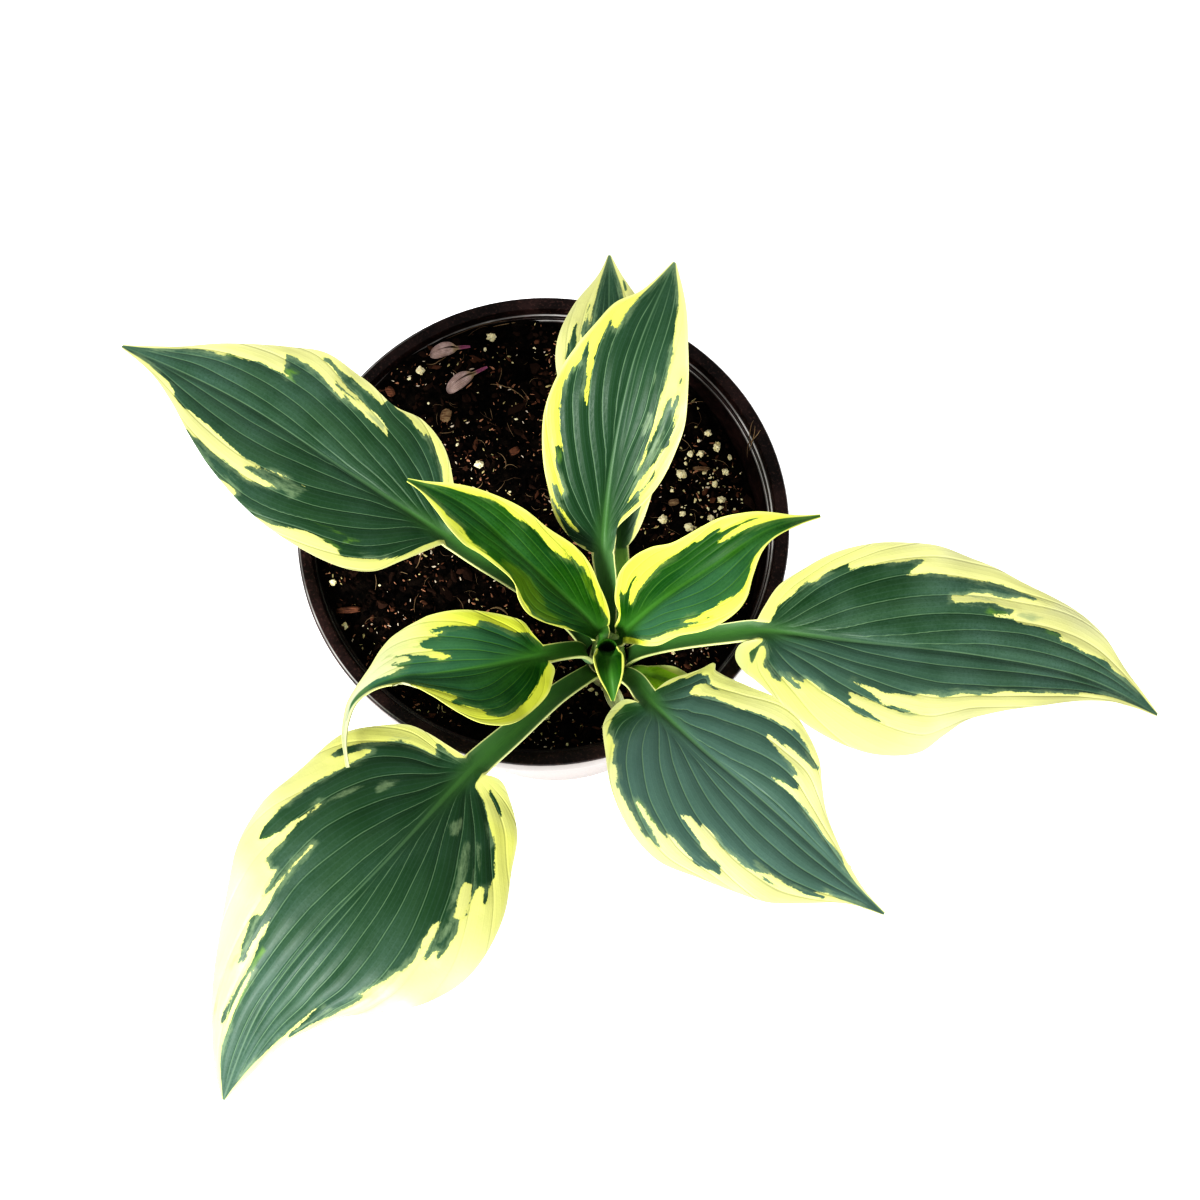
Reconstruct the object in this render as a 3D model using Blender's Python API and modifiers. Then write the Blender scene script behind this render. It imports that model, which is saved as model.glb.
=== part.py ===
"""Potted hosta: a variegated hosta with nine grown leaves in a round nursery pot.

The origin is the centre of the pot's flat base and +Z is up.  Dimensions below are in
millimetres; MM turns them into metres.  The front of the plant, where the two longest
leaves hang out, is -Y.
"""

import math
import random

import bmesh
import bpy
import numpy as np
from mathutils import Matrix, Vector
from mathutils.bvhtree import BVHTree

MM = 0.001
GAP = 0.35                 # clearance between neighbouring solids

# Pot
POT_HEIGHT = 160.0
RIM_RADIUS = 82.5
RIM_WIDTH = 5.0            # width of the flat top of the rim
LIP_HEIGHT = 14.0
BASE_RADIUS = 61.0
NECK_RADIUS = 77.6         # outside, just under the lip
WALL = 1.8
FLOOR = 2.0
LEDGE_STEP = 0.6           # each of the two stacking ledges inside
LEDGE_DROPS = (3.5, 6.5)   # how far they lie under the rim
POT_SIDES = 64
DRAIN_HOLES = 6
DRAIN_RADIUS = 4.5
DRAIN_CIRCLE = 48.0

# Soil: a tilted, slightly uneven surface
SOIL_LEVEL = 147.5
SOIL_RISE_BACK = 0.075     # slope towards +Y
SOIL_FALL_RIGHT = 0.115    # slope down towards +X
SOIL_SAG_RIGHT = 0.0008    # the right side sinks further
SOIL_RINGS = (2.0, 7.0, 9.0, 9.0, 9.0, 9.0, 9.0, 9.0)

# Shoot: the bundle of leaf bases in the middle of the plant
SHOOT_X = 21.5
SHOOT_Y = -46.5
SHOOT_TOP = 176.5
SHOOT_FOOT = 134.3
SHOOT_RADIUS = 6.5
POCKET_RADIUS = SHOOT_RADIUS + 0.4

# Leaves
BLADE_THICKNESS = 1.0
STALK_THICKNESS = 1.7
STALK_CHANNEL = 0.11       # depth of the stalk's groove, per mm squared off its middle
STALK_FOOT = 2.4           # half width where it leaves the shoot
BLADE_DROOP = 0.004        # how the halves of a blade bow down towards the edge
TIP_HALF_WIDTH = 0.5
BLADE_ROWS = 16
STALK_ROWS = 5
LEAF_COLUMNS = 8

# Each leaf: its midrib from foot to tip, how many of those points belong to the stalk,
# the stalk's half width where the blade starts, how far the halves fold up from foot to
# tip in degrees, and the two edges as (distance along the blade, distance from midrib).
# Left and right are as seen from above, looking towards the tip.
LEAVES = {
    "left_leaf": {
        "midrib": [(15.6, -42.9, 160), (9.5, -38, 172), (-6, -29, 184), (-19, -22, 190),
                   (-29, -16, 194), (-60, 2, 206), (-93, 24, 207), (-135, 48, 195)],
        "stalk_points": 4, "neck": 3.0, "fold": (14, 10, 7, 5, 4),
        "left": [(8, 15), (14, 23), (24, 27.5), (48, 28.5), (71, 23.5), (84, 18), (99, 10),
                 (110, 5)],
        "right": [(2, 9), (7, 15), (16, 23.5), (26, 27), (36, 25.5), (50, 27.5), (65, 27.5),
                  (75, 23.5), (92, 15), (102, 10), (115, 4.5)],
    },
    "back_tall_leaf": {
        "midrib": [(21, -39.7, 168), (21.3, -36, 180), (21, -29.5, 190), (20, -22, 198),
                   (22, -4, 215), (27, 18, 233), (31, 30, 239), (41, 53, 243)],
        "stalk_points": 3, "neck": 3.4, "fold": (22, 18, 15, 12, 8),
        "left": [(3, 8.5), (11, 15.5), (19, 18.5), (29, 21.5), (42, 23), (54, 20.5),
                 (67, 14.5), (75, 11), (81, 5.5)],
        "right": [(5, 4), (8, 4), (14, 8), (20, 12.5), (28, 16.5), (38, 19), (48, 20),
                  (61, 17.5), (72, 13.5), (82, 8.5)],
    },
    "back_low_leaf": {
        "midrib": [(23.4, -39.9, 157), (24.8, -34, 170), (25.8, -26, 180), (25, -17, 188),
                   (24, 9, 203), (22, 39, 211), (22, 73, 209)],
        "stalk_points": 3, "neck": 2.8, "fold": (20, 16, 12, 10, 6),
        "left": [(2, 6.5), (16, 11), (31, 13), (47, 16), (62, 17), (76, 11.5), (88, 3.5)],
        "right": [(5, 6.5), (18, 11.5), (32, 15), (48, 16), (62, 14.5), (74, 11.5), (88, 4)],
    },
    "inner_left_leaf": {
        "midrib": [(18.5, -44.5, 177.5), (18.4, -43.9, 185), (10, -38, 198), (-5, -28, 215),
                   (-21, -17, 228), (-37, -11, 232)],
        "stalk_points": 1, "neck": 3.4, "fold": (22, 17, 13, 12, 12),
        "left": [(8, 6), (15, 9), (23, 12), (29, 13), (34, 11.5), (38, 8.5), (50, 8.5),
                 (58, 10), (65, 9), (72, 5.5), (78, 2)],
        "right": [(5, 7), (14, 10), (22, 12.5), (29, 13), (39, 11.5), (50, 10.5), (64, 6),
                  (77, 1.5)],
    },
    "inner_right_leaf": {
        "midrib": [(24.9, -45.2, 177.8), (26, -45, 185), (37, -39, 201), (53, -32, 217),
                   (68, -24, 225), (84, -19, 223)],
        "stalk_points": 1, "neck": 3.0, "fold": (20, 14, 11, 9, 8),
        "left": [(5, 5), (7, 8.5), (10, 11.5), (15, 15), (21, 16), (28, 15), (35, 12.5),
                 (47, 11.5), (53, 10.5), (60, 7.5), (72, 1.8)],
        "right": [(5, 6.5), (9, 9.5), (14, 12), (23, 13.5), (31, 16), (37, 17), (44, 16.5),
                  (48, 14.5), (53, 9.5), (60, 4.5), (73, 1.5)],
    },
    "right_leaf": {
        "midrib": [(28.1, -46.7, 160), (33, -47, 173), (44, -47, 184), (57, -47, 192),
                   (67, -47, 196), (99, -53, 205), (131, -57, 206), (166, -62, 197),
                   (191, -71, 185)],
        "stalk_points": 4, "neck": 3.2, "fold": (12, 9, 7, 6, 5),
        "left": [(2, 8), (5, 14.5), (11, 20.5), (20, 27), (34, 32), (49, 33), (68, 29),
                 (79, 25), (98, 19.5), (113, 9), (123, 4)],
        "right": [(-5, 5), (-6, 9), (-3, 13.5), (4, 18), (12, 23), (22, 29), (38, 34),
                  (51, 32), (58, 26), (64, 21), (74, 16.5), (89, 12), (104, 7), (117, 3)],
    },
    "front_right_leaf": {
        "midrib": [(25.2, -52, 159), (27, -54.7, 170), (30.5, -59.7, 180), (34, -66, 185),
                   (48, -82, 195), (65, -98, 200), (84, -114, 193), (105, -131, 179)],
        "stalk_points": 3, "neck": 3.4, "fold": (9, 8, 7, 6, 5),
        "left": [(0, 10), (3, 15), (6, 20), (11, 21.5), (21, 24), (36, 27), (46, 25),
                 (55, 21), (62, 14.5), (70, 9), (88, 2)],
        "right": [(-4, 6), (-4, 11), (-1, 16), (7, 22), (18, 29), (30, 33.5), (40, 34),
                  (52, 29.5), (61, 26), (71, 21.5), (80, 14.5), (91, 6)],
    },
    "front_left_leaf": {
        "midrib": [(16.9, -51.3, 160), (13.5, -55.5, 170), (5, -64, 181), (-8, -78, 190),
                   (-19, -89, 194), (-43, -118, 204), (-63, -139, 201), (-80, -159, 189),
                   (-93, -185, 172)],
        "stalk_points": 4, "neck": 4.2, "fold": (11, 8, 6, 5, 5),
        "left": [(-2, 9), (0, 14.5), (8, 24), (18, 30), (30, 37), (46, 40.5), (60, 36.5),
                 (73, 28), (80, 22), (89, 17.5), (100, 12.5), (117, 6)],
        "right": [(1, 10), (2, 17), (4, 23.5), (9, 29.5), (18, 36), (33, 38), (53, 39),
                  (62, 37.5), (71, 32.5), (81, 27), (92, 20.5), (104, 13.5), (119, 7)],
    },
    "curled_leaf": {
        "midrib": [(15.1, -48.2, 170), (12.5, -49.5, 182), (7, -52, 190), (2, -54, 194),
                   (-14, -59, 201), (-31, -62, 203), (-41, -63.3, 204.5), (-49, -66.6, 205.5),
                   (-54, -71.5, 206), (-55.8, -77, 206), (-56.2, -83, 206), (-54.8, -91, 206.5)],
        "stalk_points": 3, "neck": 2.8, "fold": (14, 10, 15, 20, 20, 25, 20),
        "left": [(-1, 5.5), (1, 9), (4, 13), (11, 17.5), (18, 20.5), (24, 19.5), (29, 16),
                 (34, 11.5), (39, 7), (44, 4), (50, 2.4), (56, 1.7), (63, 1.3), (70, 1.1),
                 (77, 0.8)],
        "right": [(2, 6.5), (4, 11), (8, 13.5), (15, 16.5), (26, 18.5), (36, 17.5), (42, 15),
                  (48, 10.5), (53, 5.8), (58, 3.4), (64, 2.2), (70, 1.5), (77, 1)],
    },
    "unfurling_leaf": {
        "midrib": [(21.4, -49.6, 177.5), (21.2, -51, 186), (21.4, -54.4, 192),
                   (22, -60, 195.5), (23, -68, 191)],
        "stalk_points": 2, "neck": 4.0, "fold": (62, 45, 38, 30),
        "left": [(4, 5.8), (9, 3.6), (13, 1.6)],
        "right": [(3, 5.6), (9, 3.2), (13, 1.4)],
    },
    "low_leaf": {
        "midrib": [(27.4, -50.7, 150), (29, -52, 160), (34, -54.5, 170), (47, -62, 179),
                   (54, -67, 177)],
        "stalk_points": 2, "neck": 2.4, "fold": (30, 24, 18),
        "left": [(3, 3.4), (10, 5), (16, 4.2), (22, 2.6)],
        "right": [(3, 4), (10, 6), (16, 5.6), (22, 3.2)],
    },
    "sheath": {
        "midrib": [(21.8, -53.2, 147), (22.2, -55.4, 152), (23.5, -59, 154.5),
                   (27, -66, 150)],
        "stalk_points": 1, "neck": 2.2, "fold": (30, 30, 20),
        "left": [(5, 3.2), (9, 2.2)],
        "right": [(5, 2.6), (9, 1.8)],
    },
}
SHORT_LEAVES = ("unfurling_leaf", "low_leaf", "sheath")
SHORT_ROWS = 7

# Loose perlite: x, y, length and width of each grain
PERLITE = [
    (40.8, 6.6, 3.8, 2.6), (47.5, 9.0, 2.6, 1.8), (49.7, 4.2, 3.6, 2.6), (57.7, 8.0, 2.6, 2.2),
    (47.3, 23.1, 3.8, 3.2), (50.6, 31.0, 2.4, 2.0), (54.3, 31.2, 2.8, 2.2), (60.1, 34.0, 3.8, 2.8),
    (63.2, 25.2, 2.8, 2.4), (59.2, 20.8, 2.6, 2.0), (61.6, 15.1, 3.6, 2.2), (57.0, 38.8, 2.6, 2.0),
    (-19.0, 69.0, 3.4, 2.6), (-43.0, 55.4, 3.0, 2.8), (-22.2, 22.9, 3.4, 2.6),
    (-66.0, -34.4, 2.8, 1.8), (-70.2, -19.7, 2.4, 2.2), (1.0, -63.0, 3.0, 2.2),
]
GRAIN_HEIGHT = 0.75        # of its width

# Loose bark: x, y, length, width, thickness and turn in degrees
BARK = [
    (-65.0, -29.0, 7.4, 2.2, 1.2, 4), (54.4, 25.6, 5.4, 1.4, 1.0, 178), (-10.3, 28.3, 3.2, 2.6, 1.4, 30),
    (-33.7, 39.6, 4.4, 3.4, 1.4, 70), (-53.0, 47.6, 3.6, 2.6, 1.2, 120), (44.6, 12.9, 3.4, 2.2, 1.2, 15),
]

# Fallen dry bracts: the round end and the pointed end
BRACTS = {
    "fallen_bract_upper": ((-39.8, 61.4), (-25.9, 64.4)),
    "fallen_bract_lower": ((-33.8, 48.6), (-19.9, 57.6)),
}
BRACT_HALF_WIDTH = 3.1
BRACT_HALF_HEIGHT = 1.3


# Helpers

def material(name, colour, roughness):
    """A plain Principled material."""
    found = bpy.data.materials.new(name)
    found.use_nodes = True
    shader = found.node_tree.nodes["Principled BSDF"]
    shader.inputs["Base Color"].default_value = (*colour, 1.0)
    shader.inputs["Roughness"].default_value = roughness
    shader.inputs["Metallic"].default_value = 0.0
    return found


def add_object(name, mesh, collection, finish, location=(0.0, 0.0, 0.0)):
    """Link a mesh as a named object, placed in millimetres."""
    obj = bpy.data.objects.new(name, mesh)
    obj.location = Vector(location) * MM
    if finish:
        mesh.materials.append(finish)
    collection.objects.link(obj)
    return obj


def mesh_from(bm, name):
    """Turn a bmesh in millimetres into a smooth-shaded mesh in metres."""
    bmesh.ops.scale(bm, vec=(MM, MM, MM), verts=bm.verts)
    mesh = bpy.data.meshes.new(name)
    bm.to_mesh(mesh)
    bm.free()
    mesh.shade_smooth()
    mesh.set_sharp_from_angle(angle=math.radians(40))
    return mesh


def smooth_curve(points, count):
    """Points at equal steps along a smooth curve through the given points."""
    points = np.asarray(points, float)
    spans = np.linalg.norm(np.diff(points, axis=0), axis=1)[:, None] ** 0.5
    slopes = np.diff(points, axis=0) / spans
    tangents = np.zeros_like(points)
    tangents[1:-1] = (slopes[:-1] * spans[1:] + slopes[1:] * spans[:-1]) / (spans[1:] + spans[:-1])
    tangents[0] = 1.5 * slopes[0] - 0.5 * tangents[1]
    tangents[-1] = 1.5 * slopes[-1] - 0.5 * tangents[-2]
    t = np.linspace(0.0, 1.0, 24, endpoint=False)[:, None]
    start_weight = 2 * t ** 3 - 3 * t ** 2 + 1
    pieces = []
    for i, span in enumerate(spans):
        pieces.append(
            start_weight * points[i]
            + (1 - start_weight) * points[i + 1]
            + (t ** 3 - 2 * t ** 2 + t) * span * tangents[i]
            + (t ** 3 - t ** 2) * span * tangents[i + 1]
        )
    fine = np.vstack(pieces + [points[-1:]])
    run = distance_along(fine)
    steps = np.linspace(0.0, run[-1], count)
    return np.stack([np.interp(steps, run, axis) for axis in fine.T], axis=1)


def distance_along(points):
    """Distance from the first point to each point."""
    return np.concatenate([[0.0], np.cumsum(np.linalg.norm(np.diff(points, axis=0), axis=1))])


def turned(name, profile, sides, collection, finish, location=(0.0, 0.0, 0.0)):
    """A profile of (radius, height) points turned about Z by a Screw modifier."""
    bm = bmesh.new()
    verts = [bm.verts.new((radius, 0.0, height)) for radius, height in profile]
    for first, second in zip(verts, verts[1:]):
        bm.edges.new((first, second))
    obj = add_object(name, mesh_from(bm, name), collection, finish, location)
    screw = obj.modifiers.new("turn", "SCREW")
    screw.axis = "Z"
    screw.steps = sides
    screw.render_steps = sides
    screw.use_merge_vertices = True
    screw.merge_threshold = 0.00005
    return obj


def cut(obj, cutter):
    """Subtract a cutter with an exact Boolean."""
    boolean = obj.modifiers.new("cut", "BOOLEAN")
    boolean.operation = "DIFFERENCE"
    boolean.solver = "EXACT"
    boolean.object = cutter


def cylinder_cutter(name, radius, bottom, top, x, y, sides, collection):
    """An upright cylinder, hidden, that only cuts."""
    bm = bmesh.new()
    bmesh.ops.create_cone(bm, cap_ends=True, segments=sides, radius1=radius, radius2=radius,
                          depth=top - bottom)
    obj = add_object(name, mesh_from(bm, name), collection, None, (x, y, (top + bottom) / 2))
    obj.hide_render = True
    obj.display_type = "WIRE"
    return obj


# Pot

def wall_radius(height):
    """Outside radius of the tapered wall below the lip."""
    return BASE_RADIUS + (NECK_RADIUS - BASE_RADIUS) * height / (POT_HEIGHT - LIP_HEIGHT)


def pot_profile():
    """Section of the pot, from the middle of the floor up the inside and down the outside."""
    inner_top = RIM_RADIUS - RIM_WIDTH
    lower_ledge = POT_HEIGHT - LEDGE_DROPS[1]
    upper_ledge = POT_HEIGHT - LEDGE_DROPS[0]
    lip_bottom = POT_HEIGHT - LIP_HEIGHT
    return [
        (0.0, FLOOR),
        (wall_radius(FLOOR) - WALL - 1.0, FLOOR),
        (wall_radius(FLOOR + 1.0) - WALL, FLOOR + 1.0),
        (wall_radius(lower_ledge) - WALL, lower_ledge),
        (inner_top - LEDGE_STEP * 0.5, lower_ledge + 0.3),
        (inner_top - LEDGE_STEP * 0.5, upper_ledge),
        (inner_top + LEDGE_STEP * 0.5, upper_ledge + 0.3),
        (inner_top + LEDGE_STEP * 0.5, POT_HEIGHT - 0.8),
        (inner_top + LEDGE_STEP * 0.5 + 0.8, POT_HEIGHT),
        (RIM_RADIUS - 1.4, POT_HEIGHT),
        (RIM_RADIUS - 0.4, POT_HEIGHT - 0.4),
        (RIM_RADIUS, POT_HEIGHT - 1.4),
        (RIM_RADIUS - 0.4, lip_bottom + 0.6),
        (RIM_RADIUS - 1.0, lip_bottom),
        (NECK_RADIUS + 0.6, lip_bottom),
        (NECK_RADIUS, lip_bottom - 0.6),
        (wall_radius(2.0), 2.0),
        (BASE_RADIUS - 1.5, 0.0),
        (0.0, 0.0),
    ]


def make_pot(parts, cutters):
    plastic = material("pot_plastic", (0.80, 0.77, 0.75), 0.35)
    pot = turned("pot", pot_profile(), POT_SIDES, parts, plastic)
    for i in range(DRAIN_HOLES):
        angle = 2 * math.pi * (i + 0.5) / DRAIN_HOLES
        x, y = DRAIN_CIRCLE * math.cos(angle), DRAIN_CIRCLE * math.sin(angle)
        cutter = cylinder_cutter(f"drain_cutter_{i}", DRAIN_RADIUS, -1.0, FLOOR + 1.0, x, y, 16, cutters)
        cut(pot, cutter)


# Soil

def soil_height(x, y):
    """Height of the soil surface over the base, with low mounds."""
    sag = SOIL_SAG_RIGHT * max(x, 0.0) ** 2
    slope = SOIL_LEVEL + SOIL_RISE_BACK * y - SOIL_FALL_RIGHT * x - sag
    mounds = 0.5 * math.sin(0.13 * x + 0.7) * math.cos(0.11 * y) + 0.4 * math.sin(0.21 * (x + y))
    return slope + mounds


def soil_radius(height):
    """Outside radius of the soil, just clear of the wall."""
    return wall_radius(height) - WALL - GAP


def make_soil(parts, cutters):
    mix = material("soil_mix", (0.035, 0.022, 0.015), 0.95)
    bottom = FLOOR + GAP
    bm = bmesh.new()
    bmesh.ops.create_cone(bm, cap_ends=True, segments=POT_SIDES, radius1=soil_radius(bottom) - 1.2,
                          radius2=soil_radius(SOIL_LEVEL), depth=SOIL_LEVEL - bottom)
    bmesh.ops.translate(bm, vec=(0, 0, (SOIL_LEVEL + bottom) / 2), verts=bm.verts)
    edge_verts = [v for v in bm.verts if v.co.z > SOIL_LEVEL - 1.0]
    for vert in edge_verts:
        direction = vert.co.to_2d().normalized()
        for _ in range(6):
            level = soil_height(vert.co.x, vert.co.y)
            vert.co.x, vert.co.y = direction * soil_radius(level)
    bm.faces.ensure_lookup_table()
    top = max(bm.faces, key=lambda face: face.calc_center_median().z)
    for ring in SOIL_RINGS:
        bmesh.ops.inset_region(bm, faces=[top], thickness=ring, depth=0.0, use_even_offset=False)
    middle = bmesh.ops.poke(bm, faces=[top])["verts"]
    for vert in bm.verts:
        if vert.co.z > SOIL_LEVEL - 1.0 or vert in middle:
            vert.co.z = soil_height(vert.co.x, vert.co.y)
    soil = add_object("soil", mesh_from(bm, "soil"), parts, mix)
    pocket = cylinder_cutter("shoot_pocket_cutter", POCKET_RADIUS, SHOOT_FOOT - GAP, POT_HEIGHT,
                             SHOOT_X, SHOOT_Y, 24, cutters)
    cut(soil, pocket)
    return soil


# Plant

def make_shoot(parts):
    pale = material("shoot_pale_green", (0.55, 0.62, 0.38), 0.5)
    profile = [
        (0.0, SHOOT_TOP), (SHOOT_RADIUS - 3.0, SHOOT_TOP - 0.3), (SHOOT_RADIUS - 1.3, SHOOT_TOP - 1.4),
        (SHOOT_RADIUS - 0.9, SHOOT_TOP - 5.0), (SHOOT_RADIUS - 0.6, SHOOT_TOP - 17.0),
        (SHOOT_RADIUS - 0.2, SHOOT_TOP - 30.0), (SHOOT_RADIUS, SHOOT_TOP - 34.0),
        (SHOOT_RADIUS, SHOOT_FOOT), (0.0, SHOOT_FOOT),
    ]
    turned("shoot", profile, 20, parts, pale, (SHOOT_X, SHOOT_Y, 0.0))


class LeafShape:
    """The upper surface of one leaf, as a function of place along and across it."""

    def __init__(self, leaf):
        self.leaf = leaf
        self.midrib = smooth_curve(leaf["midrib"], 300)
        junction = np.asarray(leaf["midrib"][leaf["stalk_points"]], float)
        nearest = np.argmin(np.linalg.norm(self.midrib - junction, axis=1))
        run = distance_along(self.midrib)
        self.along = run - run[nearest]
        self.length = self.along[-1]
        self.stalk_length = -self.along[0]
        forward = np.gradient(self.midrib, axis=0)
        self.forward = forward / np.linalg.norm(forward, axis=1)[:, None]
        side = np.cross((0.0, 0.0, 1.0), self.forward)
        self.side = side / np.linalg.norm(side, axis=1)[:, None]
        self.up = np.cross(self.forward, self.side)

    def frame_at(self, along):
        """Midrib point and its forward, side and up directions."""
        pick = [
            [np.interp(along, self.along, axis) for axis in values.T]
            for values in (self.midrib, self.forward, self.side, self.up)
        ]
        return [np.array(values) for values in pick]

    def stalk_point(self, along, across):
        """Across runs from -1 at the right edge to 1 at the left edge."""
        share = 1.0 + along / self.stalk_length
        off = across * (STALK_FOOT + (self.leaf["neck"] - STALK_FOOT) * share)
        point, _, side, up = self.frame_at(along)
        return point + off * side + STALK_CHANNEL * off * off * up

    def blade_point(self, along, off):
        """A point of the blade, off the midrib to the left (positive) or right."""
        inside = min(max(along, 0.0), self.length)
        point, forward, side, up = self.frame_at(inside)
        stops = np.linspace(0.0, self.length, len(self.leaf["fold"]))
        fold = math.radians(np.interp(inside, stops, self.leaf["fold"]))
        rise = abs(off) * math.sin(fold) - BLADE_DROOP * off * off
        return point + (along - inside) * forward + off * math.cos(fold) * side + rise * up

    def edge(self, side_name, count):
        """The edge of one half of the blade, from neck to tip."""
        neck = (0.0, self.leaf["neck"])
        tip = (self.length, TIP_HALF_WIDTH)
        return smooth_curve([neck, *self.leaf[side_name], tip], count)


def leaf_grid_points(leaf, stalk_rows, blade_rows, columns):
    """Rows of surface points from the foot to the tip, each from right edge to left edge."""
    shape = LeafShape(leaf)
    across = np.linspace(-1.0, 1.0, columns + 1)
    rows = []
    for along in np.linspace(-shape.stalk_length, 0.0, stalk_rows + 1):
        rows.append([shape.stalk_point(along, v) for v in across])
    left = shape.edge("left", blade_rows + 1)
    right = shape.edge("right", blade_rows + 1)
    for i in range(1, blade_rows + 1):
        middle = shape.length * (i / blade_rows) ** 1.15
        row = []
        for v in across:
            edge_along, edge_off = left[i] if v > 0 else right[i]
            along = middle + (edge_along - middle) * abs(v) ** 1.5
            row.append(shape.blade_point(along, v * edge_off))
        rows.append(row)
    return np.array(rows)


def make_leaf(name, leaf, parts, finish):
    short = name in SHORT_LEAVES
    stalk_rows = 2 if short else STALK_ROWS
    blade_rows = SHORT_ROWS if short else BLADE_ROWS
    columns = LEAF_COLUMNS - 2 if short else LEAF_COLUMNS
    points = leaf_grid_points(leaf, stalk_rows, blade_rows, columns)
    rows = len(points) - 1
    foot = Vector(leaf["midrib"][0])
    bm = bmesh.new()
    bmesh.ops.create_grid(bm, x_segments=columns, y_segments=rows, size=1.0)
    stalk_verts = []
    for vert in bm.verts:
        column = round((1.0 - vert.co.x) / 2 * columns)
        row = round((1.0 + vert.co.y) / 2 * rows)
        vert.co = Vector(points[row][column]) - foot
        if row <= stalk_rows:
            stalk_verts.append(vert.index)
    obj = add_object(name, mesh_from(bm, name), parts, finish, foot)
    group = obj.vertex_groups.new(name="stalk")
    group.add(stalk_verts, 1.0, "REPLACE")
    solidify = obj.modifiers.new("thickness", "SOLIDIFY")
    solidify.thickness = STALK_THICKNESS * MM
    solidify.offset = -1.0
    solidify.vertex_group = "stalk"
    solidify.thickness_vertex_group = BLADE_THICKNESS / STALK_THICKNESS


# Loose bits on the soil

def settle(mesh, x, y, soil_tree):
    """Location that lays a mesh on the soil at x, y with a small gap."""
    reach = 0.1
    drop = min(
        soil_tree.ray_cast(Vector((v.co.x + x * MM, v.co.y + y * MM, v.co.z + reach * 2)), (0, 0, -1))[3]
        for v in mesh.vertices
    )
    return (x, y, (reach * 2 - drop) / MM + GAP)


def place_loose(name, bm, x, y, parts, finish, soil_tree):
    mesh = mesh_from(bm, name)
    obj = add_object(name, mesh, parts, finish)
    obj.location = Vector(settle(mesh, x, y, soil_tree)) * MM


def make_perlite(parts, soil_tree):
    white = material("perlite_white", (0.82, 0.80, 0.68), 0.85)
    dice = random.Random(11)
    for i, (x, y, length, width) in enumerate(PERLITE):
        bm = bmesh.new()
        bmesh.ops.create_icosphere(bm, subdivisions=1, radius=0.5)
        for vert in bm.verts:
            vert.co *= dice.uniform(0.85, 1.1)
        bmesh.ops.scale(bm, vec=(length, width, width * GRAIN_HEIGHT), verts=bm.verts)
        turn = Matrix.Rotation(dice.uniform(0.0, math.pi), 3, "Z")
        bmesh.ops.rotate(bm, matrix=turn, verts=bm.verts)
        place_loose(f"perlite_{i + 1:02d}", bm, x, y, parts, white, soil_tree)


def make_bark(parts, soil_tree):
    brown = material("bark_brown", (0.16, 0.085, 0.045), 0.9)
    dice = random.Random(5)
    for i, (x, y, length, width, thickness, turn) in enumerate(BARK):
        bm = bmesh.new()
        bmesh.ops.create_cube(bm, size=1.0)
        bmesh.ops.scale(bm, vec=(length, width, thickness), verts=bm.verts)
        for vert in bm.verts:
            vert.co.x *= dice.uniform(0.8, 1.0)
            vert.co.y *= dice.uniform(0.7, 1.0)
        bmesh.ops.bevel(bm, geom=bm.edges[:], offset=thickness * 0.25, segments=1, affect="EDGES")
        bmesh.ops.rotate(bm, matrix=Matrix.Rotation(math.radians(turn), 3, "Z"), verts=bm.verts)
        place_loose(f"bark_chip_{i + 1}", bm, x, y, parts, brown, soil_tree)


def make_bracts(parts, soil_tree):
    dry = material("bract_dry", (0.36, 0.25, 0.22), 0.7)
    for name, (round_end, point) in BRACTS.items():
        start, end = Vector(round_end), Vector(point)
        half_length = (end - start).length / 2
        bm = bmesh.new()
        bmesh.ops.create_uvsphere(bm, u_segments=12, v_segments=10, radius=1.0)
        bmesh.ops.rotate(bm, matrix=Matrix.Rotation(math.radians(90), 3, "Y"), verts=bm.verts)
        for vert in bm.verts:
            taper = 1.0 - 0.75 * max(vert.co.x + 0.1, 0.0) ** 0.8
            vert.co.y *= BRACT_HALF_WIDTH * taper
            vert.co.z *= BRACT_HALF_HEIGHT * taper
            vert.co.x *= half_length
        heading = math.atan2(end.y - start.y, end.x - start.x)
        bmesh.ops.rotate(bm, matrix=Matrix.Rotation(heading, 3, "Z"), verts=bm.verts)
        middle = (start + end) / 2
        place_loose(name, bm, middle.x, middle.y, parts, dry, soil_tree)


# Assembly

def clear_scene():
    for obj in list(bpy.data.objects):
        bpy.data.objects.remove(obj, do_unlink=True)


def new_collection(name):
    found = bpy.data.collections.new(name)
    bpy.context.scene.collection.children.link(found)
    return found


def main():
    clear_scene()
    parts = new_collection("potted_hosta")
    cutters = new_collection("cutters")
    make_pot(parts, cutters)
    soil = make_soil(parts, cutters)
    make_shoot(parts)
    grown = material("leaf_blue_green", (0.045, 0.14, 0.075), 0.45)
    young = material("leaf_yellow_green", (0.22, 0.36, 0.06), 0.45)
    pale = material("sheath_pale", (0.70, 0.72, 0.50), 0.5)
    finishes = {"low_leaf": young, "sheath": pale}
    for name, leaf in LEAVES.items():
        make_leaf(name, leaf, parts, finishes.get(name, grown))
    bpy.context.view_layer.update()
    soil_tree = BVHTree.FromObject(soil, bpy.context.evaluated_depsgraph_get())
    make_perlite(parts, soil_tree)
    make_bark(parts, soil_tree)
    make_bracts(parts, soil_tree)
    stand = bpy.data.objects.new("stand_point", None)
    parts.objects.link(stand)
    for obj in parts.objects:
        if obj is not stand:
            obj.parent = stand


main()
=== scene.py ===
"""Looks of the potted hosta: a clump of variegated leaves over a nursery pot of dark mix.

Lengths in the tables are in millimetres, in the frame of the CAD part: the origin is the
middle of the pot's base and +Z is up.  The finished meshes are in metres.  A finish works in
metres too, except on a leaf, where it works in millimetres along and off the midrib.
"""

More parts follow.
